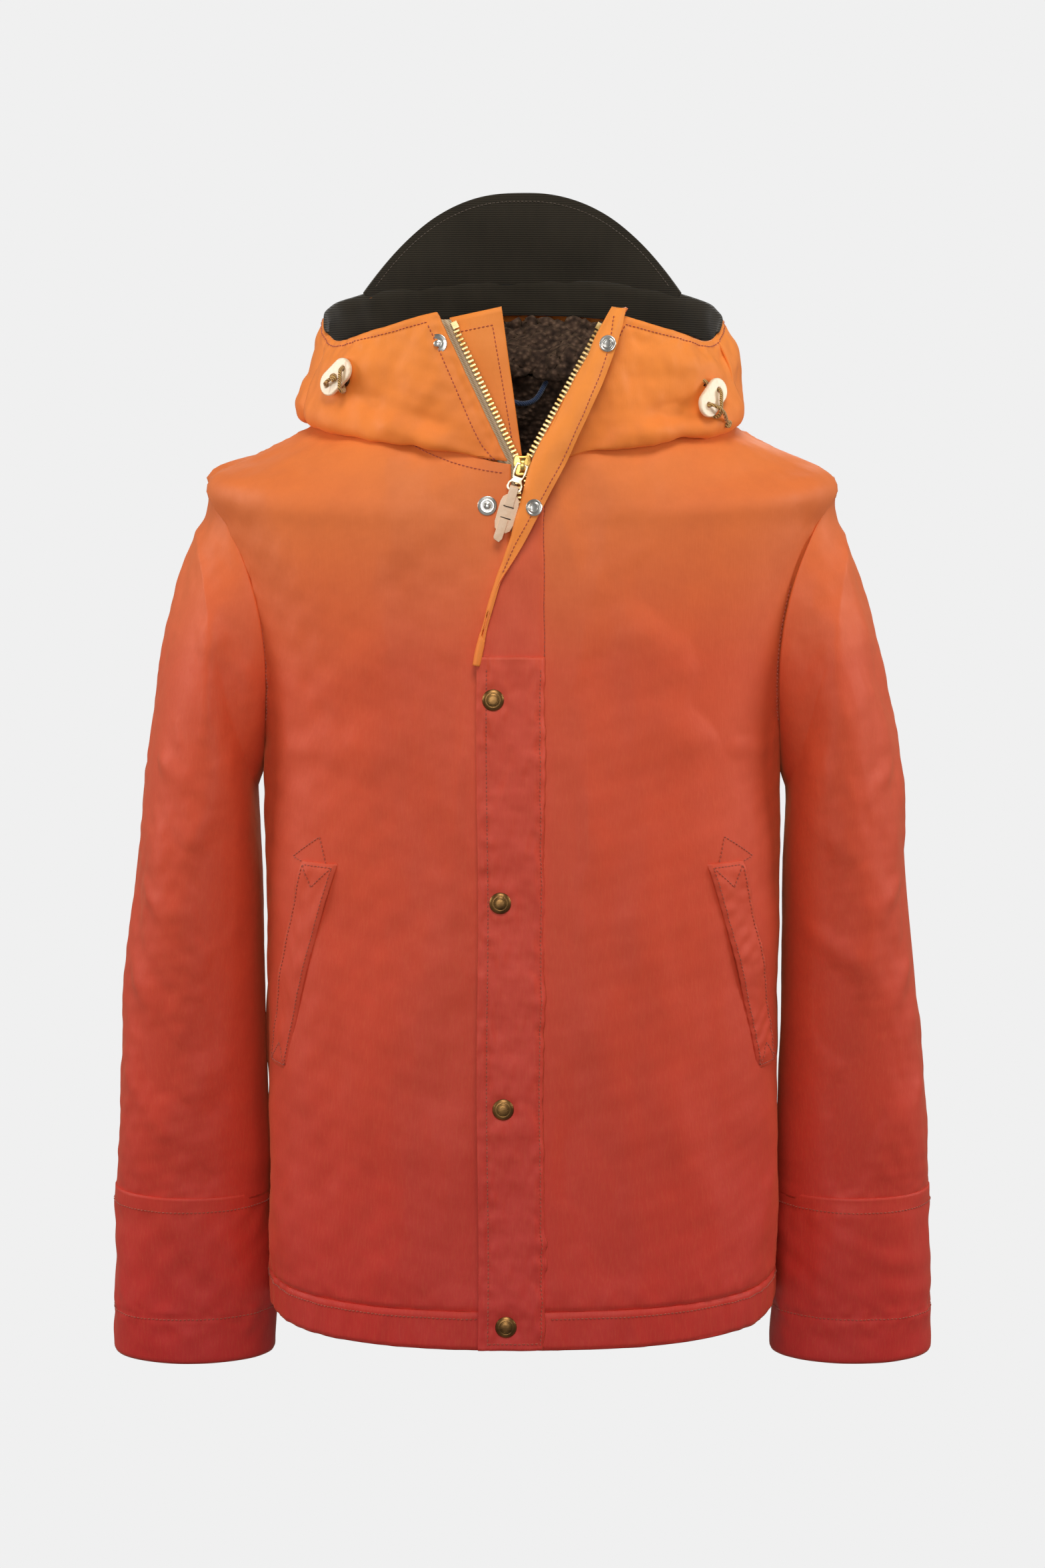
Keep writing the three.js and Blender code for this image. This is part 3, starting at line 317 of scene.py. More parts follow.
cord_radius, toggle_half, toggle_round, toggle_thick, toggle_out = 1.35, 16.5, 9.25, 3, 5.2


def smooth_way(points, per_step=6):
    """A smooth line through points, as a list of points close together."""
    points = [np.array(p, float) for p in points]
    points = [2 * points[0] - points[1]] + points + [2 * points[-1] - points[-2]]
    line = []
    for a, b, c, d in zip(points, points[1:], points[2:], points[3:]):
        steps = [max(np.linalg.norm(q - p), 1e-6) ** 0.5 for p, q in ((a, b), (b, c), (c, d))]
        knots = np.cumsum([0] + steps)
        for k in range(per_step):
            t = knots[1] + (knots[2] - knots[1]) * k / per_step

            def at(p, q, i, j):
                return (knots[j] - t) / (knots[j] - knots[i]) * p + (t - knots[i]) / (knots[j] - knots[i]) * q
            low, high = at(at(a, b, 0, 1), at(b, c, 1, 2), 0, 2), at(at(b, c, 1, 2), at(c, d, 2, 3), 1, 3)
            line.append(at(low, high, 1, 2))
    return line + [points[-2]]


def cord_curve(name, line, radius):
    curve = bpy.data.curves.new(name, "CURVE")
    curve.dimensions = "3D"
    curve.bevel_depth = radius
    curve.bevel_resolution = 3
    curve.use_fill_caps = True
    way = curve.splines.new("POLY")
    way.points.add(len(line) - 1)
    for point, place in zip(way.points, line):
        point.co = (*place, 1)
    return curve


for side, at_eyelet in eyelet_frames.items():
    body = side + "_cord_end"
    line = [at_eyelet @ (Vector(p) * MM) for p in smooth_way(cord_ways[side])]
    end = new_piece(side + "_cord", cord_curve(side + "_cord", line, cord_radius * MM), cord_braid, body,
                    "cord_end_" + side, slot="cord")
    t = toggles[side]
    corner = toggle_half - toggle_round
    outline = [(corner * s + toggle_round * math.cos(a), toggle_round * math.sin(a))
               for s, start in ((1, -90), (-1, 90)) for a in np.radians(np.linspace(start, start + 180, 24))]
    holes = [round_outline(cord_radius + 0.5, x) for x in (t["holes"], -t["holes"])]
    middle = Matrix.Translation((*t["middle"], toggle_out + toggle_thick / 2))
    turn = middle @ Matrix.Rotation(math.radians(t["tilt"]), 4, "Z")
    plate = flat_piece(side + "_toggle", [outline, *holes], toggle_thick, 0.9, turn)
    plate.transform(at_eyelet @ Matrix.Scale(MM, 4))
    toggle = new_piece(side + "_toggle", plate, horn_toggle, body, "toggle_" + side, slot="horn")
    laps = []
    for a in 2 * math.tau * np.arange(49) / 48:
        wide = 1.5 + 0.75 * math.cos(1.5 * a)
        laps.append(Vector((wide * math.cos(a), wide * math.sin(a), 0.9 * math.sin(1.5 * a)))
                    + Vector(t["knot"]))
    knot = new_piece(side + "_knot",
                     cord_curve(side + "_knot", [at_eyelet @ (p * MM) for p in laps], 1.15 * MM),
                     cord_braid, body, "cord_knot_" + side, slot="cord")
    length = sum((b - a).length for a, b in zip(line, line[1:]))


# ---------- Body: two fronts, a back and a hem band ----------
# The shell is tightly woven coated cotton with a slight two-tone lustre: its sheen is orange where the light
# catches it, and its colour is painted from orange at the top to red lower down, as painted shade for the
# light from above.
# Seams at the sides and shoulders join the panels, and the band is turned up at the hem.

def spline(a, b, c, d, t):
    """The smooth way from b to c, between a and d."""
    return 0.5 * (2 * b + (c - a) * t + (2 * a - 5 * b + 4 * c - d) * t * t
                  + (3 * b - a - 3 * c + d) * t ** 3)


def smooth_rows(rows, where):
    """A smooth curve through rows of numbers, read at fractional rows."""
    rows, where = np.asarray(rows, float), np.asarray(where, float)
    last = len(rows) - 1
    k = np.minimum(np.floor(where).astype(int), last - 1)
    t = (where - k)[..., None]
    return spline(*(rows[np.clip(k + i, 0, last)] for i in (-1, 0, 1, 2)), t)


hem_half, shoulder_half, neck_half = 191, 230, 98
hem_depth, front_lean, back_depth = 145, 0.0545, 128
shoulder_z, neck_front_z, neck_side_z, neck_back_z, hem_band = 622, 642, 689, 703, 29
armhole_z, armhole_y, armhole_rise, armhole_reach = 522, 5, 100, 75
seam_reach = 52
body_rings = [
    [0, 0, 0, hem_half, back_depth - 2, 2.5], [hem_band, hem_band, hem_band, hem_half + 1, back_depth, 2.5],
    *[[hem_band + 393 * t] * 3 + [hem_half - 1, back_depth + 4 * t, 2.5] for t in (0.25, 0.5, 0.75)],
    [422, 422, 422, hem_half + 1, back_depth, 2.4],
    *[[422 + 200 * t] * 3 + [hem_half + 2 + 39 * t ** 1.5, back_depth - 10 * t, 2.4 - 0.2 * t]
      for t in (0.3, 0.6, 0.85)],
    [605, 622, 620, shoulder_half, back_depth - 16, 2.2],
    *[[605 + 37 * t, 622 + 67 * (1.15 * t - 0.15 * t * t), 620 + 83 * t, shoulder_half - 132 * t,
       112 - 40 * t, 2.2 - 0.2 * t] for t in (0.25, 0.55, 0.8, 1)]]
top_ring = len(body_rings) - 1


def front_depth(z):
    return hem_depth - front_lean * z


def body_point(turn, ring):
    front, side, back, half, behind, square = np.moveaxis(smooth_rows(body_rings, ring), -1, 0)
    s, c = np.sin(turn), np.cos(turn)
    z = side + (np.where(c > 0, front, back) - side) * c * c
    depth = np.where(c > 0, front_depth(z), behind)
    power = lambda v: np.sign(v) * np.abs(v) ** (2 / square)
    return np.stack([half * power(s), -depth * power(c), z], -1)


def distances(points):
    """How far along their line each of a row of points is."""
    return np.concatenate([[0], np.cumsum(np.linalg.norm(np.diff(points, axis=0), axis=1))])


def even_rows(line, count):
    """Fractions, evenly spaced along a line given as a function of a fraction."""
    fine = np.linspace(0, 1, 400)
    far = distances(line(fine))
    return np.interp(np.linspace(0, far[-1], count + 1), far, fine)


def normals_of(points, ring=False):
    across = np.gradient(points, axis=1)
    if ring:
        across[:, 0] = across[:, -1] = (points[:, 1] - points[:, -2]) / 2
    normal = np.cross(across, np.gradient(points, axis=0))
    return normal / np.maximum(np.linalg.norm(normal, axis=2, keepdims=True), 1e-9)


def raised(points, shift, ring=False):
    """A grid of points moved out of its surface."""
    return points + normals_of(points, ring) * shift[..., None]


def crossed(across, along):
    """A grid's values from those across it and those up it."""
    return np.broadcast_arrays(across[None, :], along[:, None])


def bisect(low, high, beyond, steps=40):
    """The edge between low and high past which beyond is no longer true."""
    for _ in range(steps):
        middle = (low + high) / 2
        more = beyond(middle)
        low, high = np.where(more, middle, low), np.where(more, high, middle)
    return low


def rumple(points, size, seed, stretch=(1, 1, 1)):
    """A smooth random field of about 1, with bumps `size` mm across."""
    rng = np.random.RandomState(seed)
    total = 0
    for _ in range(14):
        way = rng.normal(size=3)
        way *= 2 * math.pi / size * rng.uniform(0.5, 1.5) / np.linalg.norm(way)
        total = total + np.sin((points / np.array(stretch)) @ way + rng.uniform(0, 7))
    return total / math.sqrt(7)


def fold(points, start, end, width, height):
    """A soft ridge along a line, tapering at both ends; a negative height makes a crease."""
    start, end = np.array(start, float), np.array(end, float)
    way = end - start
    t = np.clip(((points - start) @ way) / (way @ way), 0, 1)
    off = points - (start + t[..., None] * way)
    wide = width * (0.6 + 0.8 * t)
    across = np.exp(-(np.linalg.norm(off, axis=-1) / wide) ** 2)
    return height * across * np.sin(np.pi * np.clip(0.06 + 0.88 * t, 0, 1)) ** 0.7


def folded(shift, points, folds):
    for each in folds:
        shift = shift + fold(points, *each)
    return shift


def pucker(distance, points, seed, deep=0.55, reach=9):
    """Beside a seam the cloth dips into the stitches and gathers a little along it."""
    groove = -deep * np.exp(-(distance / 1.6) ** 2)
    gather = 0.32 * rumple(points, 11, seed) * np.exp(-(distance / reach) ** 2)
    return groove + gather


def smooth_mesh(name, part):
    mesh = bpy.data.meshes.new(name)
    part.to_mesh(mesh)
    part.free()
    mesh.shade_smooth()
    return mesh


def cloth_mesh(name, points, ring=False):
    """A grid of cloth whose rows and columns follow the points."""
    rows, columns = points.shape[0] - 1, points.shape[1] - 1
    weave = bmesh.new()
    layer = weave.loops.layers.uv.new("weave")
    bmesh.ops.create_grid(weave, x_segments=columns, y_segments=rows, size=1)
    place = placed(points)
    for v in weave.verts:
        i, j = round((v.co.y + 1) / 2 * rows), round((v.co.x + 1) / 2 * columns)
        v.index = i * (columns + 1) + j
        v.co = place[i, j]
    across, along = distances(place.mean(0)), distances(place.mean(1))
    for face in weave.faces:
        for loop in face.loops:
            i, j = divmod(loop.vert.index, columns + 1)
            loop[layer].uv = (across[j], along[i])
    if ring:
        bmesh.ops.remove_doubles(weave, verts=weave.verts, dist=1e-5)
    return smooth_mesh(name, weave)


def cloth(name, points, wall, material, body, *nodes, slot="cloth", ring=False):
    piece = new_piece(name, cloth_mesh(name, points, ring), material, None, *nodes, slot=slot)
    thick = piece.modifiers.new("thickness", "SOLIDIFY")
    thick.thickness = wall * MM
    thick.offset = -1
    thick.use_even_offset = False
    if body:
        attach(piece, body)
    return piece


def orange_cloth(name, top, middle, low):
    """Coated cotton: the colour is painted from orange to red down the coat, a painted shade darker lower
    down, with faint slubs and a fine weave.
    """
    f = Finish(name, Roughness=0.58, Sheen_Weight=0.22, Sheen_Roughness=0.35,
               Sheen_Tint=linear((255, 170, 110)), Specular_IOR_Level=0.35)
    # Painted shade: the base colour runs by height from the lit top colour through the middle to the shaded
    # low colour.
    painted_shade_height = f.between(f.height() + f.noise(3.5, 2) * 0.12, 0.17, -0.66)
    painted_shade_ramp = f.tones(painted_shade_height, (0, top), (0.36, middle), (1, low))
    wear = f.noise(38, 5, None, 0.6)
    slub = f.noise(900, 2, f.stretched((1, 1, 0.12)))
    mottled = f.mix(f.between(wear, 0.35, 0.75) * 0.12, painted_shade_ramp, linear((120, 30, 22)), "MIX")
    colour = f.mix(f.between(slub, 0.45, 0.8) * 0.06, mottled, linear((250, 150, 90)))
    weft = f.wave("Z", 620.0, Distortion=1.5, Detail=1.0)
    bump = weft * 0.25 + slub * 0.5 + f.noise(140, 4) * 1.4 + wear * 1.2
    return f.finish(colour, f.between(wear, 0.2, 0.9) * 0.2 + 0.48, bump, 0.00025, 0.55)


shell_cloth = orange_cloth("shell_cotton", (244, 150, 66), (218, 86, 50), (196, 44, 40))
zip_half = 8
wall = 2
welt_low, welt_high = 193, 352
hem_ring = 0.93               # where the panels start, just inside the hem band's upper edge


def ring_table(low, high, count):
    """Rings evenly spaced up the body's side between two rings."""
    line = lambda share: body_point(np.full_like(share, 0.9), low + (high - low) * share)
    return low + (high - low) * even_rows(line, count)


def armhole_turn(rings, sign):
    """Where each ring meets the armhole, in front (sign 1) or behind (-1), or the side seam."""
    seam = np.full_like(rings, math.pi / 2)
    far = seam - sign * math.pi / 2

    def outside(turn):
        p = body_point(turn, rings)
        deep, tall = (p[..., 1] - armhole_y) / seam_reach, (p[..., 2] - armhole_z) / (armhole_rise - 5)
        return deep ** 2 + tall ** 2 > 1
    return np.where(outside(seam), seam, bisect(far, seam, outside))


def on_side(side, points):
    """A grid made for the wearer's left, or its mirror image."""
    return points if side > 0 else (points * [-1, 1, 1])[:, ::-1]


def panel_points(side, columns, rows):
    rings = ring_table(hem_ring, top_ring, rows)
    half, square = smooth_rows(body_rings, rings)[:, 3], smooth_rows(body_rings, rings)[:, 5]
    inner = np.arcsin((zip_half / half) ** (square / 2))
    outer = armhole_turn(rings, 1)
    share = np.linspace(0, 1, columns + 1)[None, :]
    turn = inner[:, None] + (outer - inner)[:, None] * share
    points = body_point(turn, np.repeat(rings[:, None], columns + 1, 1))
    return on_side(side, points)


side_rings = np.linspace(1, top_ring - 4, 900)
side_heights = smooth_rows(body_rings, side_rings)[:, 1]


def ring_at(z):
    """The ring whose height at the side is z."""
    return np.interp(z, side_heights, side_rings)


def edge_distance(points, line):
    """How far each point is from a line of points."""
    best = np.full(points.shape[:2], 1e9)
    for p in line:
        best = np.minimum(best, np.sum((points - p) ** 2, -1))
    return np.sqrt(best)


def drape(points, seed, big=2.2, small=0.7):
    """The slight unevenness of hung cloth: broad waves that run downwards, and shallow dimples between."""
    return (big * rumple(points, 150, seed, (1, 1, 2.6)) + small * rumple(points, 55, seed + 1, (1, 1, 1.6))
            + 0.22 * rumple(points, 20, seed + 2, (1, 1, 1.3)))


def calm_edges(points, shift):
    """Waves die away towards a panel's edges, where the seams hold it."""
    rows, columns = points.shape[:2]
    step = np.linalg.norm(points[1, 0] - points[0, 0])
    i = np.minimum(np.arange(rows), np.arange(rows)[::-1])[:, None] * step
    j = np.minimum(np.arange(columns), np.arange(columns)[::-1])[None, :] * np.linalg.norm(
        points[rows // 3, 1] - points[rows // 3, 0])
    near = np.minimum(i, j)
    return shift * (0.12 + 0.88 * np.clip(near / 28, 0, 1) ** 1.3)


panels = {}
body_folds = {
    1: [((150, -110, 470), (70, -115, 545), 16, 3.2), ((178, -60, 430), (90, -118, 455), 13, 2.4),
        ((60, -110, 600), (45, -112, 500), 11, 2.2), ((110, -95, 600), (60, -108, 560), 10, 1.8),
        ((150, -110, 330), (165, -100, 190), 14, 2.6), ((120, -135, 160), (150, -110, 60), 16, 2.0),
        ((185, -40, 120), (160, -100, 30), 15, 2.2), ((40, -125, 250), (80, -130, 120), 20, 1.8)],
    -1: [((-150, -110, 470), (-80, -115, 530), 17, 3.0), ((-178, -60, 430), (-95, -118, 440), 13, 2.6),
         ((-60, -108, 610), (-52, -112, 540), 10, 1.6), ((-120, -95, 600), (-70, -108, 575), 10, 1.6),
         ((-150, -112, 335), (-165, -100, 185), 14, 2.8), ((-120, -135, 150), (-150, -110, 60), 16, 2.2),
         ((-185, -40, 110), (-160, -100, 30), 15, 2.0), ((-60, -130, 330), (-90, -132, 200), 22, 1.6)]}
for side, name in ((-1, "right"), (1, "left")):
    base = panel_points(side, 92, 250)
    shift = calm_edges(base, drape(base, 10 + side))
    shift = folded(shift, base, body_folds[side])
    armhole_edge = base[:, -1 if side > 0 else 0]
    shift += pucker(edge_distance(base, armhole_edge[::2]), base, 31 + side, 0.6, 12)
    hem_far = base[..., 2] - hem_band
    shift += pucker(hem_far, base, 41 + side, 0.9, 14)
    welt_line = [body_point(side * math.radians(71 - 22.5 * t),
                            ring_at(welt_low + (welt_high - welt_low) * t))
                 for t in np.linspace(0, 1, 20)]
    shift *= 1 - 0.85 * np.exp(-(edge_distance(base, welt_line) / 24) ** 2)
    shift = np.clip(shift + 0.8, -1.8, np.where(np.abs(base[..., 0]) < 42, 1.4, 6))
    shift = np.where(hem_far < 0.6, -1.6, shift)
    panels[name] = raised(base, shift)
    cloth(name + "_front", panels[name], wall, shell_cloth, "coat", "front_panel_" + name)

back_rings = ring_table(hem_ring, top_ring, 170)
edge = armhole_turn(back_rings, -1)
share = np.linspace(0, 1, 141)[None, :]
turn = edge[:, None] + (2 * (math.pi - edge))[:, None] * share
base = body_point(turn, np.repeat(back_rings[:, None], 141, 1))
shift = calm_edges(base, drape(base, 23, 3.0, 0.9))
shift = folded(shift, base, [
    ((-185, 60, 430), (-60, 130, 500), 16, 3.4), ((185, 60, 430), (70, 130, 510), 16, 3.2),
    ((-150, 110, 560), (-60, 118, 400), 20, 2.4), ((150, 110, 560), (80, 120, 380), 20, 2.2),
    ((-60, 128, 330), (-90, 126, 60), 24, 2.4), ((70, 128, 300), (50, 128, 60), 24, 2.2)])
for column in (0, -1):
    shift += pucker(edge_distance(base, base[::2, column]), base, 51 + column, 0.6, 12)
shift += pucker(base[..., 2] - hem_band, base, 57, 0.9, 14)
shift = np.where(base[..., 2] < hem_band + 0.6, -1.6, np.clip(shift + 0.8, -1.8, 7))
panels["back"] = raised(base, shift)
cloth("back", panels["back"], wall, shell_cloth, "coat", "back_panel")

# The hem band is a doubled edge, open at the zip.
band_inner = math.asin((zip_half / hem_half) ** 1.25)
turn = np.linspace(band_inner, math.tau - band_inner, 301)[None, :]
ring = np.linspace(0.0, 0.99, 15)[:, None]
base = body_point(np.repeat(turn, 15, 0), np.repeat(ring, 301, 1))
shift = 0.5 + 0.5 * rumple(base, 60, 61, (1, 1, 3)) + 0.35 * rumple(base, 13, 62, (1, 1, 2.5))
shift -= 1.5 * np.exp(-(base[..., 2] / 1.8) ** 2)
panels["hem"] = raised(base, np.clip(shift, -1.2, 2))
cloth("hem", panels["hem"], wall + 1, shell_cloth, "coat", "hem_band")


# Rows of thread are laid on the cloth they hold, one stitch after another, each sunk a little at its ends.
def on_surface(points, way, lift=0.0, count=400):
    """Places and normals along a way of fractional rows and columns over a grid of points."""
    way = np.asarray(way, float)
    far = distances(way)
    fine = np.linspace(0, far[-1], count)
    r, c = np.interp(fine, far, way[:, 0]), np.interp(fine, far, way[:, 1])
    normals = normals_of(points)
    i, j = np.minimum(r.astype(int), points.shape[0] - 2), np.minimum(c.astype(int), points.shape[1] - 2)
    u, v = (r - i)[:, None], (c - j)[:, None]
    pick = lambda g: (g[i, j] * (1 - u) * (1 - v) + g[i + 1, j] * u * (1 - v) + g[i, j + 1] * (1 - u) * v
                      + g[i + 1, j + 1] * u * v)
    out = pick(normals)
    return pick(points) + out * lift, out


def thread_finish(name, dull, bright):
    f = Finish(name, Roughness=0.5, Sheen_Weight=0.3)
    twist = f.wave("DIAGONAL", 800.0)
    return f.finish(f.tones(twist, (0, dull), (1, bright)), bump=twist, depth=0.0002)


orange_thread = thread_finish("orange_thread", (150, 46, 26), (212, 92, 50))
dark_thread = thread_finish("dark_thread", (52, 40, 30), (104, 86, 66))

stitch_length, stitch_pitch, thread_radius = 2.2, 3.1, 0.4
sunk_stitch = [(0, -0.25, 0.5), (0.3, 0.22, 1), (0.7, 0.22, 1), (1, -0.25, 0.5)]   # share, lift, thickness


def stitches(name, lines, body, material=orange_thread, slot="cloth"):
    curve = bpy.data.curves.new(name, "CURVE")
    curve.dimensions = "3D"
    curve.bevel_depth = thread_radius * MM
    curve.bevel_resolution = 1
    for points, out in lines:
        far = distances(points)
        for start in np.arange(0.4, far[-1] - stitch_length, stitch_pitch):
            way = curve.splines.new("POLY")
            way.points.add(len(sunk_stitch) - 1)
            for k, (t, lift, wide) in enumerate(sunk_stitch):
                at = start + stitch_length * t
                p = [np.interp(at, far, points[:, a]) + lift * np.interp(at, far, out[:, a])
                     for a in range(3)]
                way.points[k].co = (*placed(p), 1)
                way.points[k].radius = wide
    new_piece(name, mesh_from_curve(name, curve), material, body, slot=slot)


rows = panels["right"].shape[0] - 1
columns = panels["right"].shape[1] - 1
seam_lines = []
for name, outer, step in (("right", 0, 1), ("left", columns, -1)):
    armhole_from = int(np.argmax(panels[name][:, outer, 2] > 424))
    beside = outer + step * 4.5
    seam_lines.append(on_surface(panels[name], [(armhole_from + 8, beside), (rows - 66, beside)], 0.15))
hem_rows = panels["hem"].shape[0] - 1
seam_lines.append(on_surface(panels["hem"], [(hem_rows - 1.2, 2), (hem_rows - 1.2, 298)], 0.2, 1600))
seam_lines.append(on_surface(panels["right"], [(rows - 7, columns - 3), (rows - 7, columns - 62)], 0.15))
stitches("body_stitches", seam_lines, "coat")


# ---------- Sleeves and cuffs ----------
# Each sleeve is a tube of the same cotton set into the armhole. Its head stands a little proud of the body.
# A straight cuff is turned up at the wrist. A smooth lining runs inside it from the armhole to the cuff.

cuff_top, sleeve_end = 79, -49


def sleeve_row(outer_fall, out, inner, inner_fall, wider, middle):
    return [shoulder_half + out, shoulder_z - outer_fall * (shoulder_z - cuff_top), hem_half + 8 + inner,
            422 - inner_fall * (422 - cuff_top), armhole_reach + wider, middle]


sleeve_rows = [
    [229, 625, 192, 420, 58, 5], sleeve_row(0.068, 14, -1, 0.087, -6, 8),
    sleeve_row(0.147, 27, 0, 0.18, 0, 10),
    sleeve_row(0.267, 42, 0, 0.315, -3, 12), sleeve_row(0.414, 55, 0, 0.466, -8, 14),
    sleeve_row(0.562, 62, 0, 0.618, -13, 16), sleeve_row(0.715, 71, -1, 0.738, -19, 18),
    sleeve_row(0.867, 77, -2, 0.878, -24, 19), [312, 79, 195, 79, 47, 20], [315, -49, 192, -49, 44, 20]]
cuff_row = len(sleeve_rows) - 2


def body_side(y, z):
    _, _, _, half, behind, square = np.moveaxis(smooth_rows(body_rings, ring_at(z)), -1, 0)
    share = np.minimum(np.abs(y) / np.where(y < 0, front_depth(z), behind), 1)
    return half * (1 - share ** square) ** (1 / square)


def sleeve_point(turn, row):
    outer_x, outer_z, inner_x, inner_z, half, middle = np.moveaxis(smooth_rows(sleeve_rows, row), -1, 0)
    c = np.cos(turn)
    y = middle - half * np.sin(turn)
    z = (outer_z + inner_z) / 2 + (outer_z - inner_z) / 2 * c
    flat = (outer_x + inner_x) / 2 + (outer_x - inner_x) / 2 * c
    sewn = np.clip(1 - row, 0, 1)
    return np.stack([sewn * (body_side(y, z) + 0.2) + (1 - sewn) * flat, y, z], -1)


def sleeve_grid(low, high, columns, rows):
    share = even_rows(lambda t: sleeve_point(np.full_like(t, 1.2), low + (high - low) * t), rows)
    return sleeve_point(*crossed(np.linspace(0, math.tau, columns + 1), low + (high - low) * share))


def blend_at_shoulder(piece, arm):
    """Bakes the piece's placement into its mesh."""
    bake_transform(piece)


def closed_ring(shift):
    """A displacement that meets itself where the ring closes."""
    ease = np.linspace(-0.5, 0.5, shift.shape[1])[None, :]
    gap = shift[:, -1:] - shift[:, :1]
    return shift - gap * np.sign(ease) * np.clip((np.abs(ease) - 0.35) / 0.15, 0, 1) * 0.5


sleeve_folds = [
    ((262, -60, 545), (222, -66, 500), 9, 3.6), ((232, -66, 540), (214, -50, 470), 10, 3.0),
    ((285, -30, 420), (240, -52, 392), 10, 2.6), ((205, -45, 400), (246, -52, 350), 11, 3.0),
    ((296, -20, 330), (250, -46, 300), 10, 3.0), ((203, -38, 300), (256, -46, 262), 11, 3.4),
    ((300, -10, 262), (262, -38, 210), 11, 2.6), ((206, -30, 215), (250, -38, 170), 12, 2.4),
    ((304, 0, 180), (262, -32, 120), 11, 2.2), ((222, -30, 140), (236, -28, 95), 10, 2.0),
    ((214, 66, 470), (262, 76, 420), 12, 3.4), ((290, 50, 360), (216, 62, 330), 12, 3.0),
    ((214, 60, 270), (292, 52, 240), 12, 3.4), ((300, 45, 190), (226, 52, 150), 13, 2.6)]
for side, name in ((-1, "right"), (1, "left")):
    arm = name + "_arm"
    base = sleeve_grid(0, cuff_row + 0.02, 150, 250)
    seen = base * [side, 1, 1]
    shift = 1.5 * rumple(seen, 95, 71 + side, (1, 1, 2.2)) + 0.6 * rumple(seen, 38, 73 + side, (1, 1, 1.5))
    shift += 0.2 * rumple(seen, 16, 75 + side)
    nudge = np.random.RandomState(80 + side)
    for start, end, width, height in sleeve_folds:
        move = nudge.uniform(-1, 1, 3) * [4, 4, 16]
        shift += fold(base, np.add(start, move), np.add(end, move), width, height * nudge.uniform(0.7, 1.25))
    from_head = np.linalg.norm(base - base[:1], axis=-1)
    from_cuff = np.linalg.norm(base - base[-1:], axis=-1)
    calm = np.clip(np.minimum(from_head, from_cuff) / 22, 0.1, 1)
    shift = closed_ring(shift * calm + 1.3 * np.exp(-(from_head / 22) ** 2)
                        + pucker(from_cuff, seen, 77 + side, 0.7, 12))
    under = np.clip((np.cos(np.linspace(0, math.tau, 151)) + 0.75) / 0.5, 0.25, 1)[None, :]
    shift = np.clip(shift * under, -1.6, 4.5)
    near_body = np.clip((-np.cos(np.linspace(0, math.tau, 151)) - 0.35) / 0.5, 0, 1)[None, :]
    shift += 2.6 * near_body * np.clip((from_head - 30) / 60, 0, 1) * np.clip(from_cuff / 30, 0.4, 1)
    outer_side = np.clip((np.cos(np.linspace(0, math.tau, 151)) - 0.2) / 0.6, 0, 1)[None, :]
    shift -= 3.5 * outer_side * np.exp(-((from_head - 58) / 34) ** 2)
    tube = on_side(side, raised(base, shift, True))
    sleeve = cloth(name + "_sleeve", tube, wall, shell_cloth, None, name + "_sleeve", ring=True)
    blend_at_shoulder(sleeve, arm)

    base = sleeve_grid(cuff_row - 0.03, cuff_row + 1, 150, 64)
    seen = base * [side, 1, 1]
    from_end = base[..., 2] - sleeve_end
    shift = 0.9 * rumple(seen, 60, 91 + side, (1, 1, 2)) + 0.35 * rumple(seen, 22, 93 + side)
    shift *= np.clip(from_end / 20, 0.25, 1) * np.clip((cuff_top - base[..., 2]) / 12, 0.1, 1)
    shift += pucker(from_end - 36, seen, 95 + side, 0.6, 10) - 1.2 * np.exp(-(from_end / 1.6) ** 2) + 0.9
    shift = closed_ring(shift)
    tube = on_side(side, raised(base, shift, True))
    cloth(name + "_cuff", tube, wall + 0.8, shell_cloth, arm, name + "_cuff", ring=True)
    row = float(np.argmin(np.abs(tube[:, 40, 2] + 13)))
    stitches(name + "_cuff_stitches", [on_surface(tube, [(row, 0), (row, 150)], 0.15, 700),
                                       on_surface(tube, [(5.5, 0), (5.5, 150)], 0.15, 700)], arm)

satin = Finish("dark_satin", Roughness=0.42, Sheen_Weight=0.3, Sheen_Roughness=0.3)
twill = satin.wave("DIAGONAL", 700.0, Distortion=1.0)
dark_satin = satin.finish(satin.tones(satin.noise(20, 4), (0.3, (44, 34, 29)), (0.7, (62, 49, 42))),
                          bump=twill + satin.noise(90, 3) * 2, depth=0.0003)
for side, name in ((-1, "right"), (1, "left")):
    base = sleeve_grid(1, cuff_row + 0.9, 60, 60)
    loose = closed_ring(rumple(base * [side, 1, 1], 50, 97 + side))
    inner = raised(base, -(5.6 + 0.6 * np.abs(loose)), True)
    lining = cloth(name + "_sleeve_lining", on_side(side, inner), 1, dark_satin, None,
                   name + "_sleeve_lining", slot="lining", ring=True)
    blend_at_shoulder(lining, name + "_arm")


# ---------- Hood ----------
# The hood stands open round the neck and its crown has fallen back behind the collar. Its two fronts are sewn
# to the zip and are joined to the shell at the ears, and a row of thread runs below the rim.

ear = math.radians(75)
hood_fold_half, hood_rim_half, rim_front, rim_back, hood_sag = 161, 146, 104, 96, 148
eighths = np.arange(9)
neck_ends = np.where(eighths < 4, neck_front_z, neck_back_z)
neck_line = neck_side_z + (neck_ends - neck_side_z) * np.cos(eighths * math.pi / 8) ** 2 + 1.35
rim_line = np.array([751, 750, 737, 727, 741, 751, 759, 765, 767.0])
fold_line = np.array([660, 658, 660, 666, 668, 662, 653, 647, 645.0])
wall_line = 0.45 * fold_line + 0.55 * rim_line


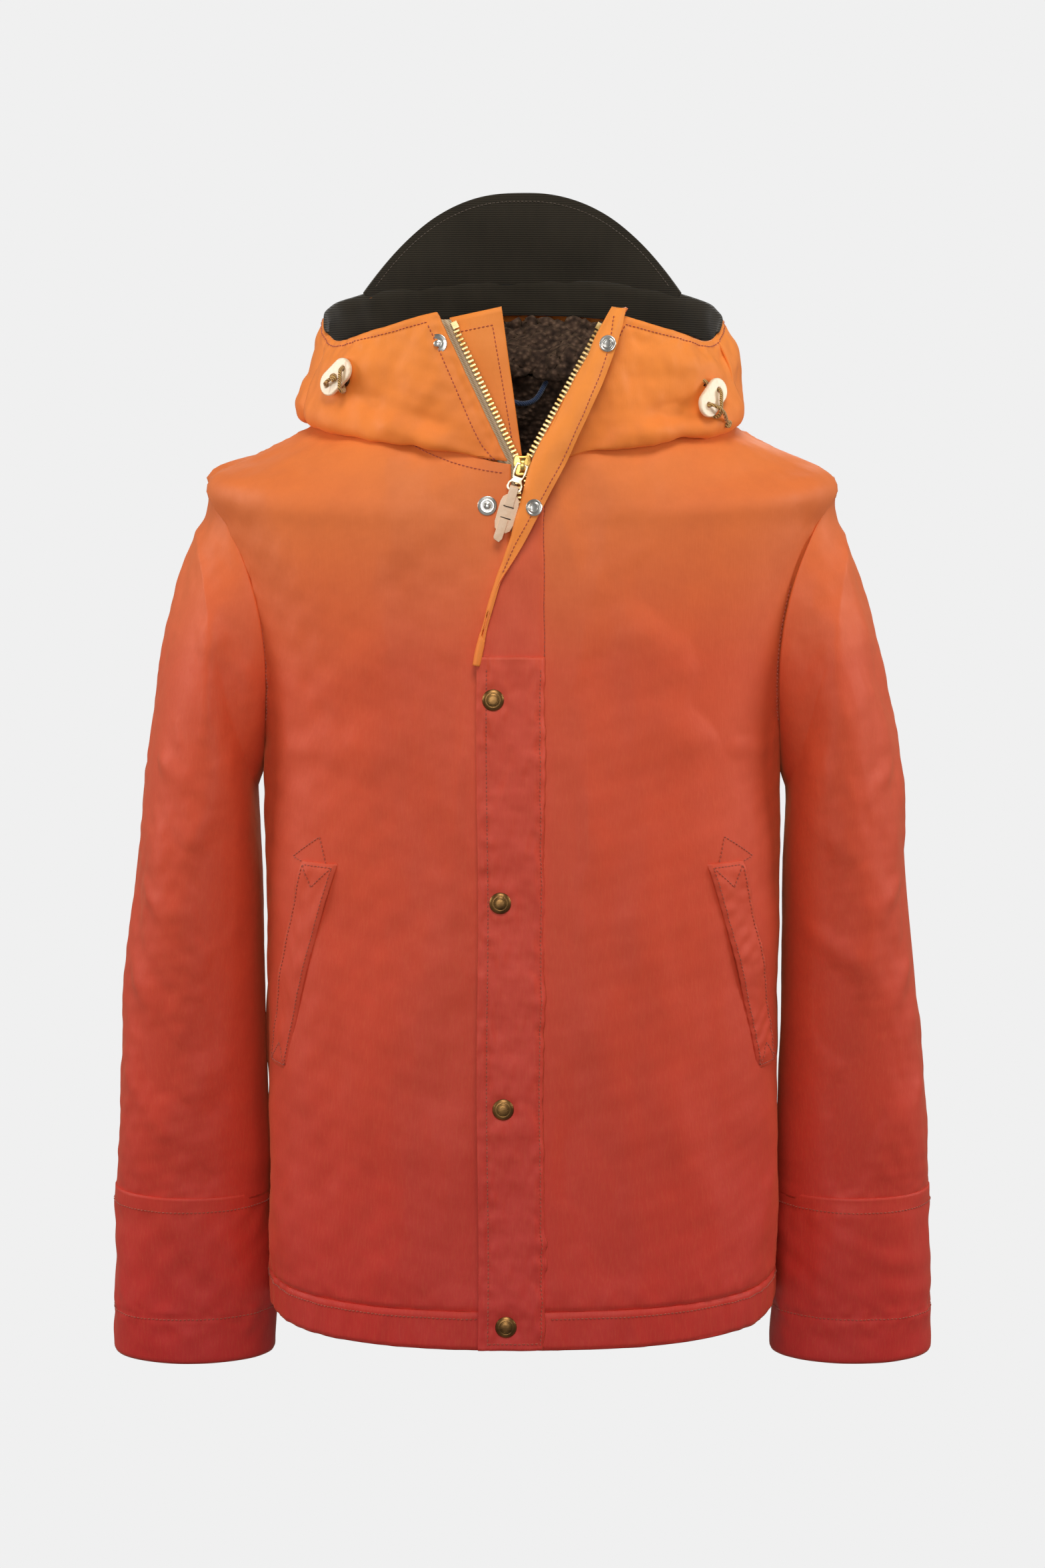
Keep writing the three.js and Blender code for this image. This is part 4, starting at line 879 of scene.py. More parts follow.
def hood_point(turn, share):
    turn, share = np.broadcast_arrays((np.asarray(turn, float) + math.pi) % math.tau - math.pi, share)
    eighth = np.clip(np.abs(turn) * 8 / math.pi, 0, 7.9999)
    c = np.cos(turn)
    parts = []
    lines = neck_line, fold_line, wall_line, rim_line
    heights = [smooth_rows(line[:, None], eighth)[..., 0] for line in lines]
    for values in ((neck_half, hood_fold_half, hood_fold_half - 3, hood_rim_half),
                   (72, hood_sag, (hood_sag + rim_back) / 2 + 4, rim_back), heights):
        k = np.minimum(np.floor(share * 3).astype(int), 2)
        t = share * 3 - k
        rows = [np.broadcast_to(v, turn.shape) for v in values]
        parts.append(spline(*(np.choose(np.clip(k + i, 0, 3), rows) for i in (-1, 0, 1, 2)), t))
    half, behind, z = parts
    return np.stack([half * np.sin(turn), -np.where(c > 0, front_depth(z), behind) * c, z], -1)


vee_foot, vee_right, vee_left = 645, (-47, 738), (54, 738)      # where the open zip's teeth part, and end
hood_zip_gap = 8.5


def row_x(side, z):
    """The middle of one row of the zip's teeth, which part above the slider."""
    top_x, top_z = vee_right if side < 0 else vee_left
    return side * (2.4 + (abs(top_x) - 2.4) * np.maximum(z - vee_foot, 0) / (top_z - vee_foot))


def hood_front_grid(side, columns, rows):
    share = even_rows(lambda t: hood_point(np.full_like(t, 0.9), t), rows)

    def inside(turn):
        p = hood_point(turn, share)
        return p[:, 0] < np.abs(row_x(side, p[:, 2])) + hood_zip_gap
    low = bisect(np.zeros(rows + 1), np.full(rows + 1, 1.3), inside)
    across = np.linspace(0, 1, columns + 1)[None, :]
    turn = low[:, None] + (ear + 0.01 - low[:, None]) * across
    return hood_point(turn, np.repeat(share[:, None], columns + 1, 1))


collar_cloth = orange_cloth("hood_cotton", (250, 150, 60), (236, 106, 46), (200, 62, 38))
hood_folds = {
    -1: [((-40, -110, 648), (-110, -95, 676), 10, 5.0), ((-60, -104, 668), (-140, -60, 694), 9, -3.6),
         ((-95, -96, 712), (-150, -30, 708), 10, 2.6), ((-40, -106, 690), (-80, -100, 735), 9, 2.0),
         ((-110, -80, 665), (-155, -30, 672), 9, 2.6)],
    1: [((60, -110, 655), (125, -88, 672), 10, 5.2), ((80, -104, 672), (146, -56, 684), 9, -3.6),
        ((100, -96, 715), (150, -30, 705), 10, 2.4), ((60, -106, 700), (92, -98, 735), 9, 2.0),
        ((120, -75, 662), (156, -25, 670), 9, 2.8)]}
hood_grids = {}
for side, name in ((-1, "right"), (1, "left")):
    base = hood_front_grid(side, 96, 84)
    seen = base * [side, 1, 1]
    shift = (1.5 * rumple(seen, 70, 101 + side) + 0.5 * rumple(seen, 28, 103 + side)
             + 0.2 * rumple(seen, 13, 105 + side))
    shift = folded(shift, seen, hood_folds[side])
    rim_far = np.linalg.norm(base - base[-1:], axis=-1)
    neck_far = np.linalg.norm(base - base[:1], axis=-1)
    edge_far = np.linalg.norm(base - base[:, :1], axis=-1)
    calm = np.clip(np.minimum.reduce([rim_far, neck_far, edge_far]) / 16, 0.15, 1)
    shift = (shift * calm + pucker(rim_far - 6, seen, 107 + side, 0.5, 8)
             + pucker(edge_far - 6, seen, 109 + side, 0.45, 8))
    shift += 1.2 * np.exp(-((neck_far - 3) / 4) ** 2) - 0.8 * np.exp(-(rim_far / 1.5) ** 2)
    grid = on_side(side, raised(base, np.clip(shift + 0.6, -2.6, 5.5)))
    hood_grids[name] = grid
    cloth(name + "_hood_front", grid, wall, collar_cloth, "coat", "hood_front_" + name)
    edge, inward = (96, -1) if side < 0 else (0, 1)
    stitches(name + "_hood_front_stitches", [
        on_surface(grid, [(80.5, edge + inward * 7), (80.5, 96 - edge)], 0.12),
        on_surface(grid, [(3, edge + inward * 6), (80.5, edge + inward * 7)], 0.12),
        on_surface(grid, [(2.2, edge + inward * 6), (2.2, 96 - edge)], 0.12)], "coat")

share = even_rows(lambda t: hood_point(np.full_like(t, 2.4), t), 110)
base = hood_point(np.linspace(ear - 0.015, math.tau - ear + 0.015, 301)[None, :], share[:, None])
shift = 2.2 * rumple(base, 90, 111) + 0.8 * rumple(base, 34, 112) + 0.25 * rumple(base, 15, 113)
shift = folded(shift, base, [
        ((-150, -20, 660), (-150, 60, 690), 10, 3.0), ((150, -20, 660), (150, 60, 690), 10, 3.0),
        ((-60, 130, 650), (-110, 110, 730), 14, 4.0), ((40, 135, 648), (90, 115, 720), 14, 3.6),
        ((-10, 130, 700), (30, 140, 660), 12, 3.0), ((-130, 80, 650), (-70, 130, 670), 11, 3.2),
        ((120, 90, 655), (60, 130, 690), 11, 3.2)])
rim_far, neck_far = np.linalg.norm(base - base[-1:], axis=-1), np.linalg.norm(base - base[:1], axis=-1)
calm = np.clip(np.minimum(rim_far, neck_far) / 18, 0.12, 1)
shift = shift * calm + pucker(rim_far - 6, base, 114, 0.5, 8) - 0.8 * np.exp(-(rim_far / 1.5) ** 2)
shell = raised(base, np.clip(shift + 0.6, -1.5, 7))
hood = cloth("hood_shell_cloth", shell, wall, collar_cloth, None, "hood_shell")
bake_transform(hood)
stitches("hood_shell_stitches", [on_surface(shell, [(106.2, 1), (106.2, 299)], 0.12, 900)], "hood")


# ---------- Pile inside the hood and the body ----------
# Curly brown pile fabric, padded, is quilted into the hood and the body. Above it a dark ribbed facing runs
# inside the rim.

fleece = Finish("curly_pile", Roughness=0.95, Sheen_Weight=0.35, Sheen_Roughness=0.6,
                Sheen_Tint=linear((170, 140, 110)), Specular_IOR_Level=0.15)
curl = fleece.node("ShaderNodeTexVoronoi", {"feature": "SMOOTH_F1"}, {
    "Vector": fleece.place, "Scale": 230.0, "Smoothness": 0.6, "Randomness": 1.0})
tuft = fleece.noise(260, 4)
# Painted shade: the pile is darker between the curls, where the bump is low, and lighter on the curls' tops.
pile_tone_and_painted_shade = fleece.tones(curl + (tuft - 0.5) * 0.5, (0.1, (112, 89, 73)), (0.4, (74, 57, 47)),
                           (0.75, (36, 27, 23)))
patches = fleece.noise(22, 3)
curly_pile = fleece.finish(fleece.mix(fleece.between(patches, 0.3, 0.75) * 0.4, pile_tone_and_painted_shade,
                                      linear((56, 42, 36))),
                           bump=(1 - curl) * 1.2 + tuft * 0.8, depth=0.0022, strength=0.9)


facing_height = 26


def drawn_in(gap):
    """Scales that bring the rim's outline in by a gap."""
    return np.array([1 - gap / hood_rim_half, 1 - gap / rim_front, 1])


def inner_point(turn, share):
    rim, neck = hood_point(turn, np.ones_like(turn)), hood_point(turn, np.zeros_like(turn))
    rim = rim * drawn_in(2.8) - [0, 0, 37]
    neck = neck * drawn_in(8.8) + [0, 0, 4]
    aside = np.clip(share, 0, 0.97)
    return neck + (rim - neck) * np.stack([aside, aside, share], -1)


def tufted(points, seed):
    """Pile stands off its backing in curls of a few millimetres, deeper where it was brushed up."""
    curls = (1.1 * rumple(points, 9, seed) + 0.8 * rumple(points, 5.5, seed + 1)
             + 1.4 * rumple(points, 30, seed + 2))
    return raised(points, curls)


turn, share = crossed(np.linspace(ear + 0.03, math.tau - ear - 0.03, 321), np.linspace(-0.5, 1.3, 121))
padding = tufted(inner_point(turn, share), 121)
pile = cloth("hood_pile", padding, 7, curly_pile, None, "hood_lining", slot="pile")
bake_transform(pile)
for side, name in ((-1, "right"), (1, "left")):
    turn, share = crossed(np.linspace(0.62 if side > 0 else 0.6, ear - 0.02, 121), np.linspace(0, 1, 61))
    lining = cloth(name + "_hood_front_pile", on_side(side, tufted(inner_point(turn, share), 124 + side)),
                   3.5, curly_pile, "coat", "hood_front_lining_" + name, slot="pile")

ribbed = Finish("ribbed_facing", Roughness=0.9, Sheen_Weight=0.15, Sheen_Roughness=0.5,
                Specular_IOR_Level=0.2)
ribs = ribbed.wave("Z", 190.0, Distortion=0.25, Detail=1.0)
grain = ribbed.noise(120, 4, ribbed.stretched((1, 1, 0.3)))
ribbed_facing = ribbed.finish(
    ribbed.mix(ribs, ribbed.tones(grain, (0.3, (33, 30, 22)), (0.8, (44, 39, 30))), linear((52, 46, 36))),
    bump=ribs + grain * 0.6, depth=0.0003)
turn, share = crossed(np.linspace(ear + 0.02, math.tau - ear - 0.02, 241), np.linspace(0, 1, 13))
facing = hood_point(turn, np.ones_like(turn)) * drawn_in(2.6)
facing[..., 2] -= facing_height * (1 - share)
facing = raised(facing, 0.5 * rumple(facing, 30, 131))
for row, out, up in ((-2, 1.4, 0.9), (-1, 3.2, 1.3)):
    facing[row] = facing[-3] * drawn_in(-out) + [0, 0, 4.3 + up]
cloth("hood_rim_facing", facing, 1, ribbed_facing, "hood", "hood_facing", slot="facing")

inset = 6.2
lined_rings = top_ring - 1.35
rings = 1.15 + lined_rings * even_rows(lambda t: body_point(np.full_like(t, 0.9), 1.15 + lined_rings * t),
                                       116)
at_rings = smooth_rows(body_rings, rings)
open_edge = np.arcsin((34 / at_rings[:, 3]) ** (at_rings[:, 5] / 2))
front_edge, back_edge = armhole_turn(rings, 1), armhole_turn(rings, -1)


def lined(start, end, columns):
    turn = start[:, None] + (end - start)[:, None] * np.linspace(0, 1, columns + 1)[None, :]
    points = body_point(turn, np.repeat(rings[:, None], columns + 1, 1))
    return points - normals_of(points) * inset


strips = [lined(open_edge, front_edge, 60), lined(back_edge, math.tau - back_edge, 120)]
strips.append(on_side(-1, strips[0]))
for k, (name, strip) in enumerate(zip(("left_front_pile", "back_pile", "right_front_pile"), strips)):
    soft = raised(strip, -np.abs(0.8 * rumple(strip, 14, 133 + k) + 0.6 * rumple(strip, 60, 136 + k)))
    lining = cloth(name, soft, 5, curly_pile, "coat", "body_lining", slot="pile")


# ---------- Visor ----------
# A stiffened piece of the ribbed facing cloth stands up behind the hood's rim. Its curved edge is turned and
# stitched all the way round.

visor_half, visor_top, visor_fall = 118, 833, 74


def visor_point(u, v):
    x = visor_half * (2 * u - 1)
    foot = hood_point(math.pi - np.arcsin(x / hood_rim_half), np.ones_like(x))
    top = visor_top - visor_fall * np.abs(x / visor_half) ** 2.4
    bow = 3.5 * np.sin(np.pi * np.clip(v, 0, 1)) * (1 - np.abs(x / visor_half) ** 2)
    return np.stack([x, foot[..., 1] - 2.2 - bow, foot[..., 2] - 3 + (top - foot[..., 2] + 3) * v], -1)


visor_grid = visor_point(*crossed(np.linspace(0, 1, 161), np.linspace(0, 1, 49)))
visor_grid = raised(visor_grid, 0.8 * rumple(visor_grid, 60, 141))
cloth("visor_cloth", visor_grid, 2.4, ribbed_facing, "hood", "visor", slot="facing")
tall = np.linalg.norm(visor_grid[-1] - visor_grid[0], axis=-1)
seam = [(48 * (1 - 6.5 / tall[j]), j) for j in range(161) if tall[j] > 14]
stitches("visor_stitches", [on_surface(visor_grid, seam, 0.15, 500)], "hood", dark_thread, slot="facing")


# ---------- Storm flap ----------
# A double strip covers the zip: sewn along the wearer's left and snapped shut on the right. Above the last
# closed snap it is turned back like a lapel, which shows its lighter inner face.

def fall_back(x, z):
    """How far the fronts' surface falls back from the straight front line, beside the zip."""
    x, z = np.broadcast_arrays(np.abs(np.asarray(x, float)), np.asarray(z, float))
    result = np.zeros(x.shape)
    for point, top, half, part in ((body_point, top_ring, hem_half, z < neck_front_z),
                                   (hood_point, 1, hood_rim_half, z >= neck_front_z)):
        turn = np.arcsin(np.minimum(x / half, 1))
        for _ in range(10):
            low = bisect(np.zeros(x.shape), np.full(x.shape, float(top)),
                         lambda t: point(turn, t)[..., 2] < z, 20)
            p = point(turn, low)
            turn = np.clip(turn + (x - p[..., 0]) / half, 0, 1.4)
        result = np.where(part, front_depth(z) + p[..., 1], result)
    return result


def on_front(x, out, z):
    x, out, z = np.broadcast_arrays(x, out, z)
    return np.stack([x, fall_back(x, z) - front_depth(z) - out, z], -1)


# Painted shade: the flap cotton is a slightly darker copy of the shell cotton, for the shade on the storm
# flap.
shaded_flap_cloth = orange_cloth("flap_cotton", (232, 120, 60), (214, 78, 52), (196, 47, 43))
flap_inside = orange_cloth("flap_inner_cotton", (250, 152, 62), (242, 136, 56), (226, 106, 50))
flap_hinge, flap_edge, flap_out = 14.5, -32.5, 5.4
rows = 240
z = np.linspace(2, 506, rows + 1)[:, None]
across = np.linspace(0, 1, 71)[None, :]
x = flap_edge + 0.6 * np.sin(z / 41) + (flap_hinge + 0.6 - flap_edge) * across
out = flap_out - 4.6 * np.clip((x - flap_hinge + 3.2) / 3.8, 0, 1) ** 2.2
flat = np.stack(np.broadcast_arrays(x, -(front_depth(z) + out), z), -1)
edge_far, seam_far = (x - flap_edge), (flap_hinge - x)
shift = 0.55 * rumple(flat, 70, 151, (1, 1, 1.5)) + 0.3 * rumple(flat, 24, 152) + 0.12 * rumple(flat, 9, 153)
shift += pucker(edge_far - 7, flat, 154, 0.45, 7) + pucker(seam_far - 3, flat, 155, 0.5, 6) + 0.8
snaps = [(-12, 19), (-14, 179), (-16, 329), (-21, 475)]
for snap_x, snap_z in snaps:
    far = np.hypot(x - snap_x, z - snap_z)
    shift = shift * np.clip((far - 5) / 12, 0, 1) + 0.5 * np.exp(-((far - 12) / 3) ** 2)
    shift += 0.25 * np.cos(7 * np.arctan2(z - snap_z, x - snap_x)) * np.exp(-((far - 13) / 5) ** 2)
closed = raised(flat, np.clip(shift, -0.6, 2.6))
cloth("storm_flap_cloth", closed, wall, shaded_flap_cloth, "flap", "storm_flap")
stitches("storm_flap_stitches", [
    on_surface(closed, [(1.5, 10.4), (rows - 3, 10.4)], 0.12, 1200),
    on_surface(closed, [(1.5, 66.2), (rows - 3, 66.2)], 0.12, 1200),
    on_surface(closed, [(2.4, 10.4), (2.4, 66)], 0.12)], "flap")

lapel_rows = [[500, -32.5, -31, 6], [525, -27, -26, 8], [556, -18, -17, 8.4], [583, -9, -1, 9],
              [610, 0, 13, 12],
              [641, 8, 29, 15], [671, 22, 43, 18], [702, 39, 57, 19], [726, 52, 66, 19], [752, 66, 73, 18]]
rows = 130
lapel = smooth_rows(lapel_rows, np.linspace(0, len(lapel_rows) - 1, rows + 1))
grid = np.zeros((rows + 1, 73, 3))
for i, (z, roll, edge, lift) in enumerate(lapel):
    hinge = max(flap_hinge, row_x(1, z) + 12)
    roll = max(min(roll, hinge - 4), flap_edge)
    edge = max(edge, roll + 1.2)
    way = [(edge, lift), (roll + 0.75 * (edge - roll), lift * 0.96),
           (roll + 0.3 * (edge - roll), lift * 0.6 + flap_out * 0.45),
           (roll - 0.2, flap_out + 2.2), (roll - 0.9, flap_out + 0.9), (roll + 0.4, flap_out - 0.2),
           (roll + 0.35 * (hinge - roll), flap_out - 0.2), (roll + 0.8 * (hinge - roll), flap_out - 0.4),
           (hinge + 0.2, flap_out - 1.6), (hinge + 0.6, 0.6)]
    line = smooth_rows(way, np.concatenate([np.linspace(0, 3, 33)[:-1], np.linspace(3, 5, 13)[:-1],
                                            np.linspace(5, 9, 29)]))
    grid[i, :, 0], grid[i, :, 1], grid[i, :, 2] = line[:, 0], line[:, 1], z
grid = on_front(grid[..., 0], grid[..., 1], grid[..., 2])
for _ in range(14):
    grid[1:-1] = 0.5 * grid[1:-1] + 0.25 * (grid[:-2] + grid[2:])
shift = 0.6 * rumple(grid, 45, 161) + 0.3 * rumple(grid, 18, 162)
shift[:, 32:] = np.minimum(shift[:, 32:], 0.8)
grid = raised(grid, np.clip(shift, -0.8, 1.2) * np.linspace(0.1, 1, rows + 1)[:, None] ** 0.5)
turned_back = cloth("turned_back_flap", grid, wall, shaded_flap_cloth, "coat", "storm_flap_top")
turned_back.data.materials.append(flap_inside)
turned_back.modifiers["thickness"].material_offset = 1
edge_way = [(i, min(6.5 / max(lapel[i][2] - lapel[i][1], 8) * 26, 24)) for i in range(34, rows - 2, 4)]
turned_points, turned_out = on_surface(grid, edge_way, -wall - 0.15, 400)
stitches("turned_back_stitches",
         [(turned_points, -turned_out), on_surface(grid, [(2, 68), (rows - 2, 68)], 0.12, 500)], "coat")


# ---------- Snap fasteners ----------
# Four domed caps close the flap onto studs in the right front. Two more studs stand open, and their sockets
# face out of the turned-back flap. Each cap has a plain ring and a circle of dots.

def turned(profile):
    """A round metal part spun from radius and height."""
    part = bmesh.new()
    verts = [part.verts.new((r, 0, z)) for r, z in profile]
    edges = [part.edges.new(pair) for pair in zip(verts, verts[1:])]
    bmesh.ops.spin(part, geom=verts + edges, cent=(0, 0, 0), axis=(0, 0, 1), angle=math.tau, steps=40,
                   use_merge=True)
    bmesh.ops.remove_doubles(part, verts=part.verts, dist=1e-4)
    bmesh.ops.recalc_face_normals(part, faces=part.faces)
    return part


def small_part(name, part, place, material, body, *nodes, slot):
    bmesh.ops.transform(part, matrix=to_frame @ place, verts=part.verts)
    piece = new_piece(name, smooth_mesh(name, part), material, body, *nodes, slot=slot)
    corners = piece.modifiers.new("edges", "BEVEL")
    corners.width, corners.segments, corners.angle_limit = 0.00012, 2, 0.7
    return piece


def metal(name, bright, dull, roughness):
    f = Finish(name, Metallic=1.0)
    worn = f.noise(90, 5)
    scratch = f.noise(700, 2, f.stretched((1, 0.08, 1), turn=(0.3, 0.5, 0.2)))
    colour = f.tones(worn, (0.32, dull), (0.62, bright))
    return f.finish(colour, f.between(worn, 0.2, 0.8) * 0.2 + roughness, bump=scratch * 0.5 + worn,
                    depth=0.00008)


silver_metal = metal("bright_nickel", (226, 224, 218), (180, 176, 168), 0.18)
bronze_metal = metal("aged_bronze", (150, 112, 66), (96, 68, 42), 0.26)
brass_metal = metal("gold_brass", (226, 192, 112), (184, 142, 70), 0.2)
tooth_brass = metal("tooth_brass", (236, 214, 160), (196, 160, 96), 0.25)
pale_brass = metal("pale_brass", (248, 234, 204), (222, 200, 152), 0.24)


def front_frame(x, out, z):
    lean = Matrix.Rotation(-math.atan(front_lean), 4, "X")
    along = math.cos(math.atan(front_lean))
    return Matrix.Translation((0, -hem_depth, 0)) @ lean @ Matrix.Translation((x, -out, z / along))


facing_out = Matrix.Rotation(math.pi / 2, 4, "X")
dots, dot_radius, dot_ring = 16, 0.34, 3.2
cap_size, open_stud_size = Matrix.Scale(1.07, 4), Matrix.Scale(1.12, 4)
cap_profile = [(0, 2.3), (2.2, 2.25), (4.1, 2.0), (4.4, 1.75), (4.7, 1.95), (5.6, 1.75), (6.4, 1.3),
               (7.0, 0.75), (7.35, 0.45), (7.2, 0.15), (6.2, 0), (2, 0), (2, -2.3), (5.8, -2.35), (6, -2.9),
               (5.6, -3.4), (2.8, -3.5), (2.7, -2.6), (0, -2.6)]


def stud_profile(post):
    return [(0, post), (1.5, post), (1.95, post - 0.3), (2.05, post - 0.8), (1.8, 1.35), (2.6, 1.0),
            (3.6, 1.3), (4.6, 1.25), (5.2, 0.95), (5.9, 1.0), (6.25, 0.75), (6.1, 0.4), (2, 0.4), (2, -1.7),
            (0, -1.7)]


for k, (snap_x, snap_z) in enumerate(snaps, 1):
    part = turned(cap_profile)
    for a in math.tau * np.arange(dots) / dots:
        middle = Matrix.Translation((dot_ring * math.cos(a), dot_ring * math.sin(a), 2.15))
        bmesh.ops.create_icosphere(part, subdivisions=1, radius=dot_radius, matrix=middle)
    place = front_frame(snap_x, flap_out + 0.3, snap_z) @ facing_out @ cap_size
    small_part("snap_cap_%d_dome" % k, part, place, bronze_metal, "flap", "snap_cap_%d" % k, slot="bronze")
    place = front_frame(snap_x, -float(fall_back(snap_x, snap_z)), snap_z) @ facing_out
    small_part("snap_stud_%d_ring" % k, turned(stud_profile(2.3)), place, silver_metal, "coat",
               "snap_stud_%d" % k, slot="silver")
open_snaps = [(-25, 613), (-60, 727)]
socket_profile = [(0, 0), (5.6, 0), (6.2, 0.5), (5.9, 1.1), (4.9, 1.3), (4.4, 0.9), (3.8, 1.2), (3.3, 1.8),
                  (2.7, 1.7), (2.5, 0.7), (0, 0.6)]
for k, (snap_x, snap_z) in enumerate(open_snaps, 5):
    slope = float(fall_back(-snap_x + 3, snap_z) - fall_back(-snap_x - 3, snap_z)) / 6
    spot = on_front(snap_x, 0.5, snap_z)
    place = Matrix.Translation(spot) @ Matrix.Rotation(-math.atan(slope), 4, "Z") @ Matrix.Rotation(
        math.pi / 2 - math.atan(front_lean), 4, "X") @ open_stud_size
    small_part("snap_stud_%d_ring" % k, turned(stud_profile(3.6)), place, silver_metal, "coat",
               "snap_stud_%d" % k, slot="silver")
    row = int(np.argmin(np.abs(lapel[:, 0] - snap_z)))
    face = -Vector(normals_of(grid)[row, 14])
    across = Vector(grid[row, 6] - grid[row, 24]).normalized()
    across = (across - face * across.dot(face)).normalized()
    place = frame_at(Vector(grid[row, 14]) + face * (wall + 0.1), across, face.cross(across), face)
    small_part("snap_socket_%d_ring" % k, turned(socket_profile), place, silver_metal, "coat",
               "snap_socket_%d" % k, slot="silver")


# ---------- Zip ----------
# A chunky brass zip: two herringbone tapes with a row of teeth 3.4 mm apart clamped on each, parted above the
# slider, with square stops at the top and a retainer box at the hem.

tape = Finish("herringbone_tape", Roughness=0.8, Sheen_Weight=0.3)
vee = tape.wave("DIAGONAL", 260.0, "SAW", tape.uv)
chevron = tape.wave("X", 75.0, "TRI", tape.uv)
herringbone = vee * 0.6 + chevron * 0.5
tape_cloth = tape.finish(
    tape.tones(herringbone, (0.15, (150, 128, 96)), (0.5, (196, 174, 138)), (0.95, (222, 203, 168))),
    bump=herringbone, depth=0.0006)
vee_top = 744
tooth_out, tooth_depth, tooth_pitch, tape_half_wall = -2.1, 3.4, 3.4, 0.5
for side, name in ((-1, "right"), (1, "left")):
    z = np.linspace(8, vee_top, 161)[:, None]
    reach = np.linspace(1.4, 15, 15)[None, :]
    x = row_x(side, z) + side * (reach if side > 0 else reach[:, ::-1])
    strip = on_front(x, -3.3, z)
    cloth("zip_tape_%s_cloth" % name, strip, 1, tape_cloth, "coat", "zip_tape_" + name, slot="tape")
    heights = np.arange(10 + (tooth_pitch / 2 if side > 0 else 0), vee_foot, tooth_pitch)
    rise = vee_top - 6 - vee_foot
    length = math.hypot(rise, row_x(side, vee_top - 6) - 2.4)
    heights = np.concatenate([heights, vee_foot + np.arange(1, length, tooth_pitch) * rise / length])
    centres = on_front(row_x(side, heights), tooth_out - tooth_depth / 2 + 0.3, heights)
    row = bmesh.new()
    tooth = bmesh.new()
    shape = Matrix.Translation((0.7 * side, -0.3, 0)) @ Matrix.Diagonal((5.0, tooth_depth, 1.95, 1))
    bmesh.ops.create_cube(tooth, size=1, matrix=shape)
    bmesh.ops.bevel(tooth, geom=tooth.edges, offset=0.45, segments=1, profile=0.5, affect="EDGES",
                    material=-1)
    one = bpy.data.meshes.new("tooth")
    tooth.to_mesh(one)
    tooth.free()
    for k, centre in enumerate(centres):
        ahead = Vector(centres[min(k + 1, len(centres) - 1)] - centres[max(k - 1, 0)]).normalized()
        turn = Vector((0, 0, 1)).rotation_difference(ahead).to_matrix().to_4x4()
        copy = one.copy()
        copy.transform(Matrix.Translation(centre) @ turn)
        row.from_mesh(copy)
        bpy.data.meshes.remove(copy)
    stop = Matrix.Translation(centre) @ turn @ Matrix.Translation((0, -0.2, 4.4))
    stop = stop @ Matrix.Diagonal((4.4, 3.6, 5, 1))
    bmesh.ops.create_cube(row, size=1, matrix=stop)
    bmesh.ops.transform(row, matrix=to_frame, verts=row.verts)
    teeth = bpy.data.meshes.new("zip_teeth_" + name)
    row.to_mesh(teeth)
    row.free()
    new_piece("zip_teeth_%s_row" % name, teeth, tooth_brass, "coat", "zip_teeth_" + name, slot="brass")


def smooth_plate(name, outlines, thick, rounded, place, material, body, *nodes, slot):
    """A plate drawn across x and z in front of its own place, thickness along y."""
    mesh = flat_piece(name, outlines, thick, rounded, place @ Matrix.Rotation(math.pi / 2, 4, "X"))
    mesh.transform(to_frame)
    return new_piece(name, mesh, material, body, *nodes, slot=slot)


def oblong(half_x, low, high, corner):
    points = []
    for cx, cz, start in ((half_x - corner, high - corner, 0), (corner - half_x, high - corner, 90),
                          (corner - half_x, low + corner, 180), (half_x - corner, low + corner, 270)):
        for a in np.radians(np.linspace(start, start + 90, 7)):
            points.append((cx + corner * math.cos(a), cz + corner * math.sin(a)))
    return points


smooth_plate("zip_retainer_box", [oblong(5, -7, -0.4, 1.2)], 4.4, 0.7, front_frame(0, -2.3 - 1.5, 8),
             brass_metal, "coat", "zip_retainer", slot="brass")

# The slider is a cast body with a bridge over it. The tab hangs in the bridge, and a leather strip is
# threaded through its ring.
slider_shape = [(-5.2, -7), (-3.5, -8), (3.5, -8), (5.2, -7), (6.7, 1.5), (6.2, 5.5), (4.8, 7), (1.5, 6.4),
                (-1.5, 6.4), (-4.8, 7), (-6.2, 5.5), (-6.7, 1.5)]
slider_place = front_frame(0, 0, neck_front_z)
plate, plate_round = 2.4, 0.8
front_gap = tooth_out + tape_half_wall + plate / 2
back_gap = tooth_out - tooth_depth - tape_half_wall - plate / 2
for part, gap, nodes in (("front", front_gap, ["zip_slider"]), ("back", back_gap, [])):
    smooth_plate("slider_" + part, [slider_shape], plate, plate_round,
                 slider_place @ Matrix.Translation((0, -gap, 0)), brass_metal, "slider", *nodes, slot="brass")
smooth_plate("slider_post", [oblong(0.6, 1.6, 6.2, 0.5)], 6.4, 0.2,
             slider_place @ Matrix.Translation((0, -(tooth_out - 1.7), 0)),
             brass_metal, "slider", slot="brass")


four_corners = ((-1, -1), (1, -1), (1, 1), (-1, 1))


def band_part(rings):
    """A solid strip through rings of four corners."""
    part = bmesh.new()
    rings = [[part.verts.new(p) for p in ring] for ring in rings]
    for a, b in zip(rings, rings[1:]):
        for i in range(4):
            part.faces.new((a[i], a[(i + 1) % 4], b[(i + 1) % 4], b[i]))
    part.faces.new(rings[0][::-1])
    part.faces.new(rings[-1])
    bmesh.ops.recalc_face_normals(part, faces=part.faces)
    return part


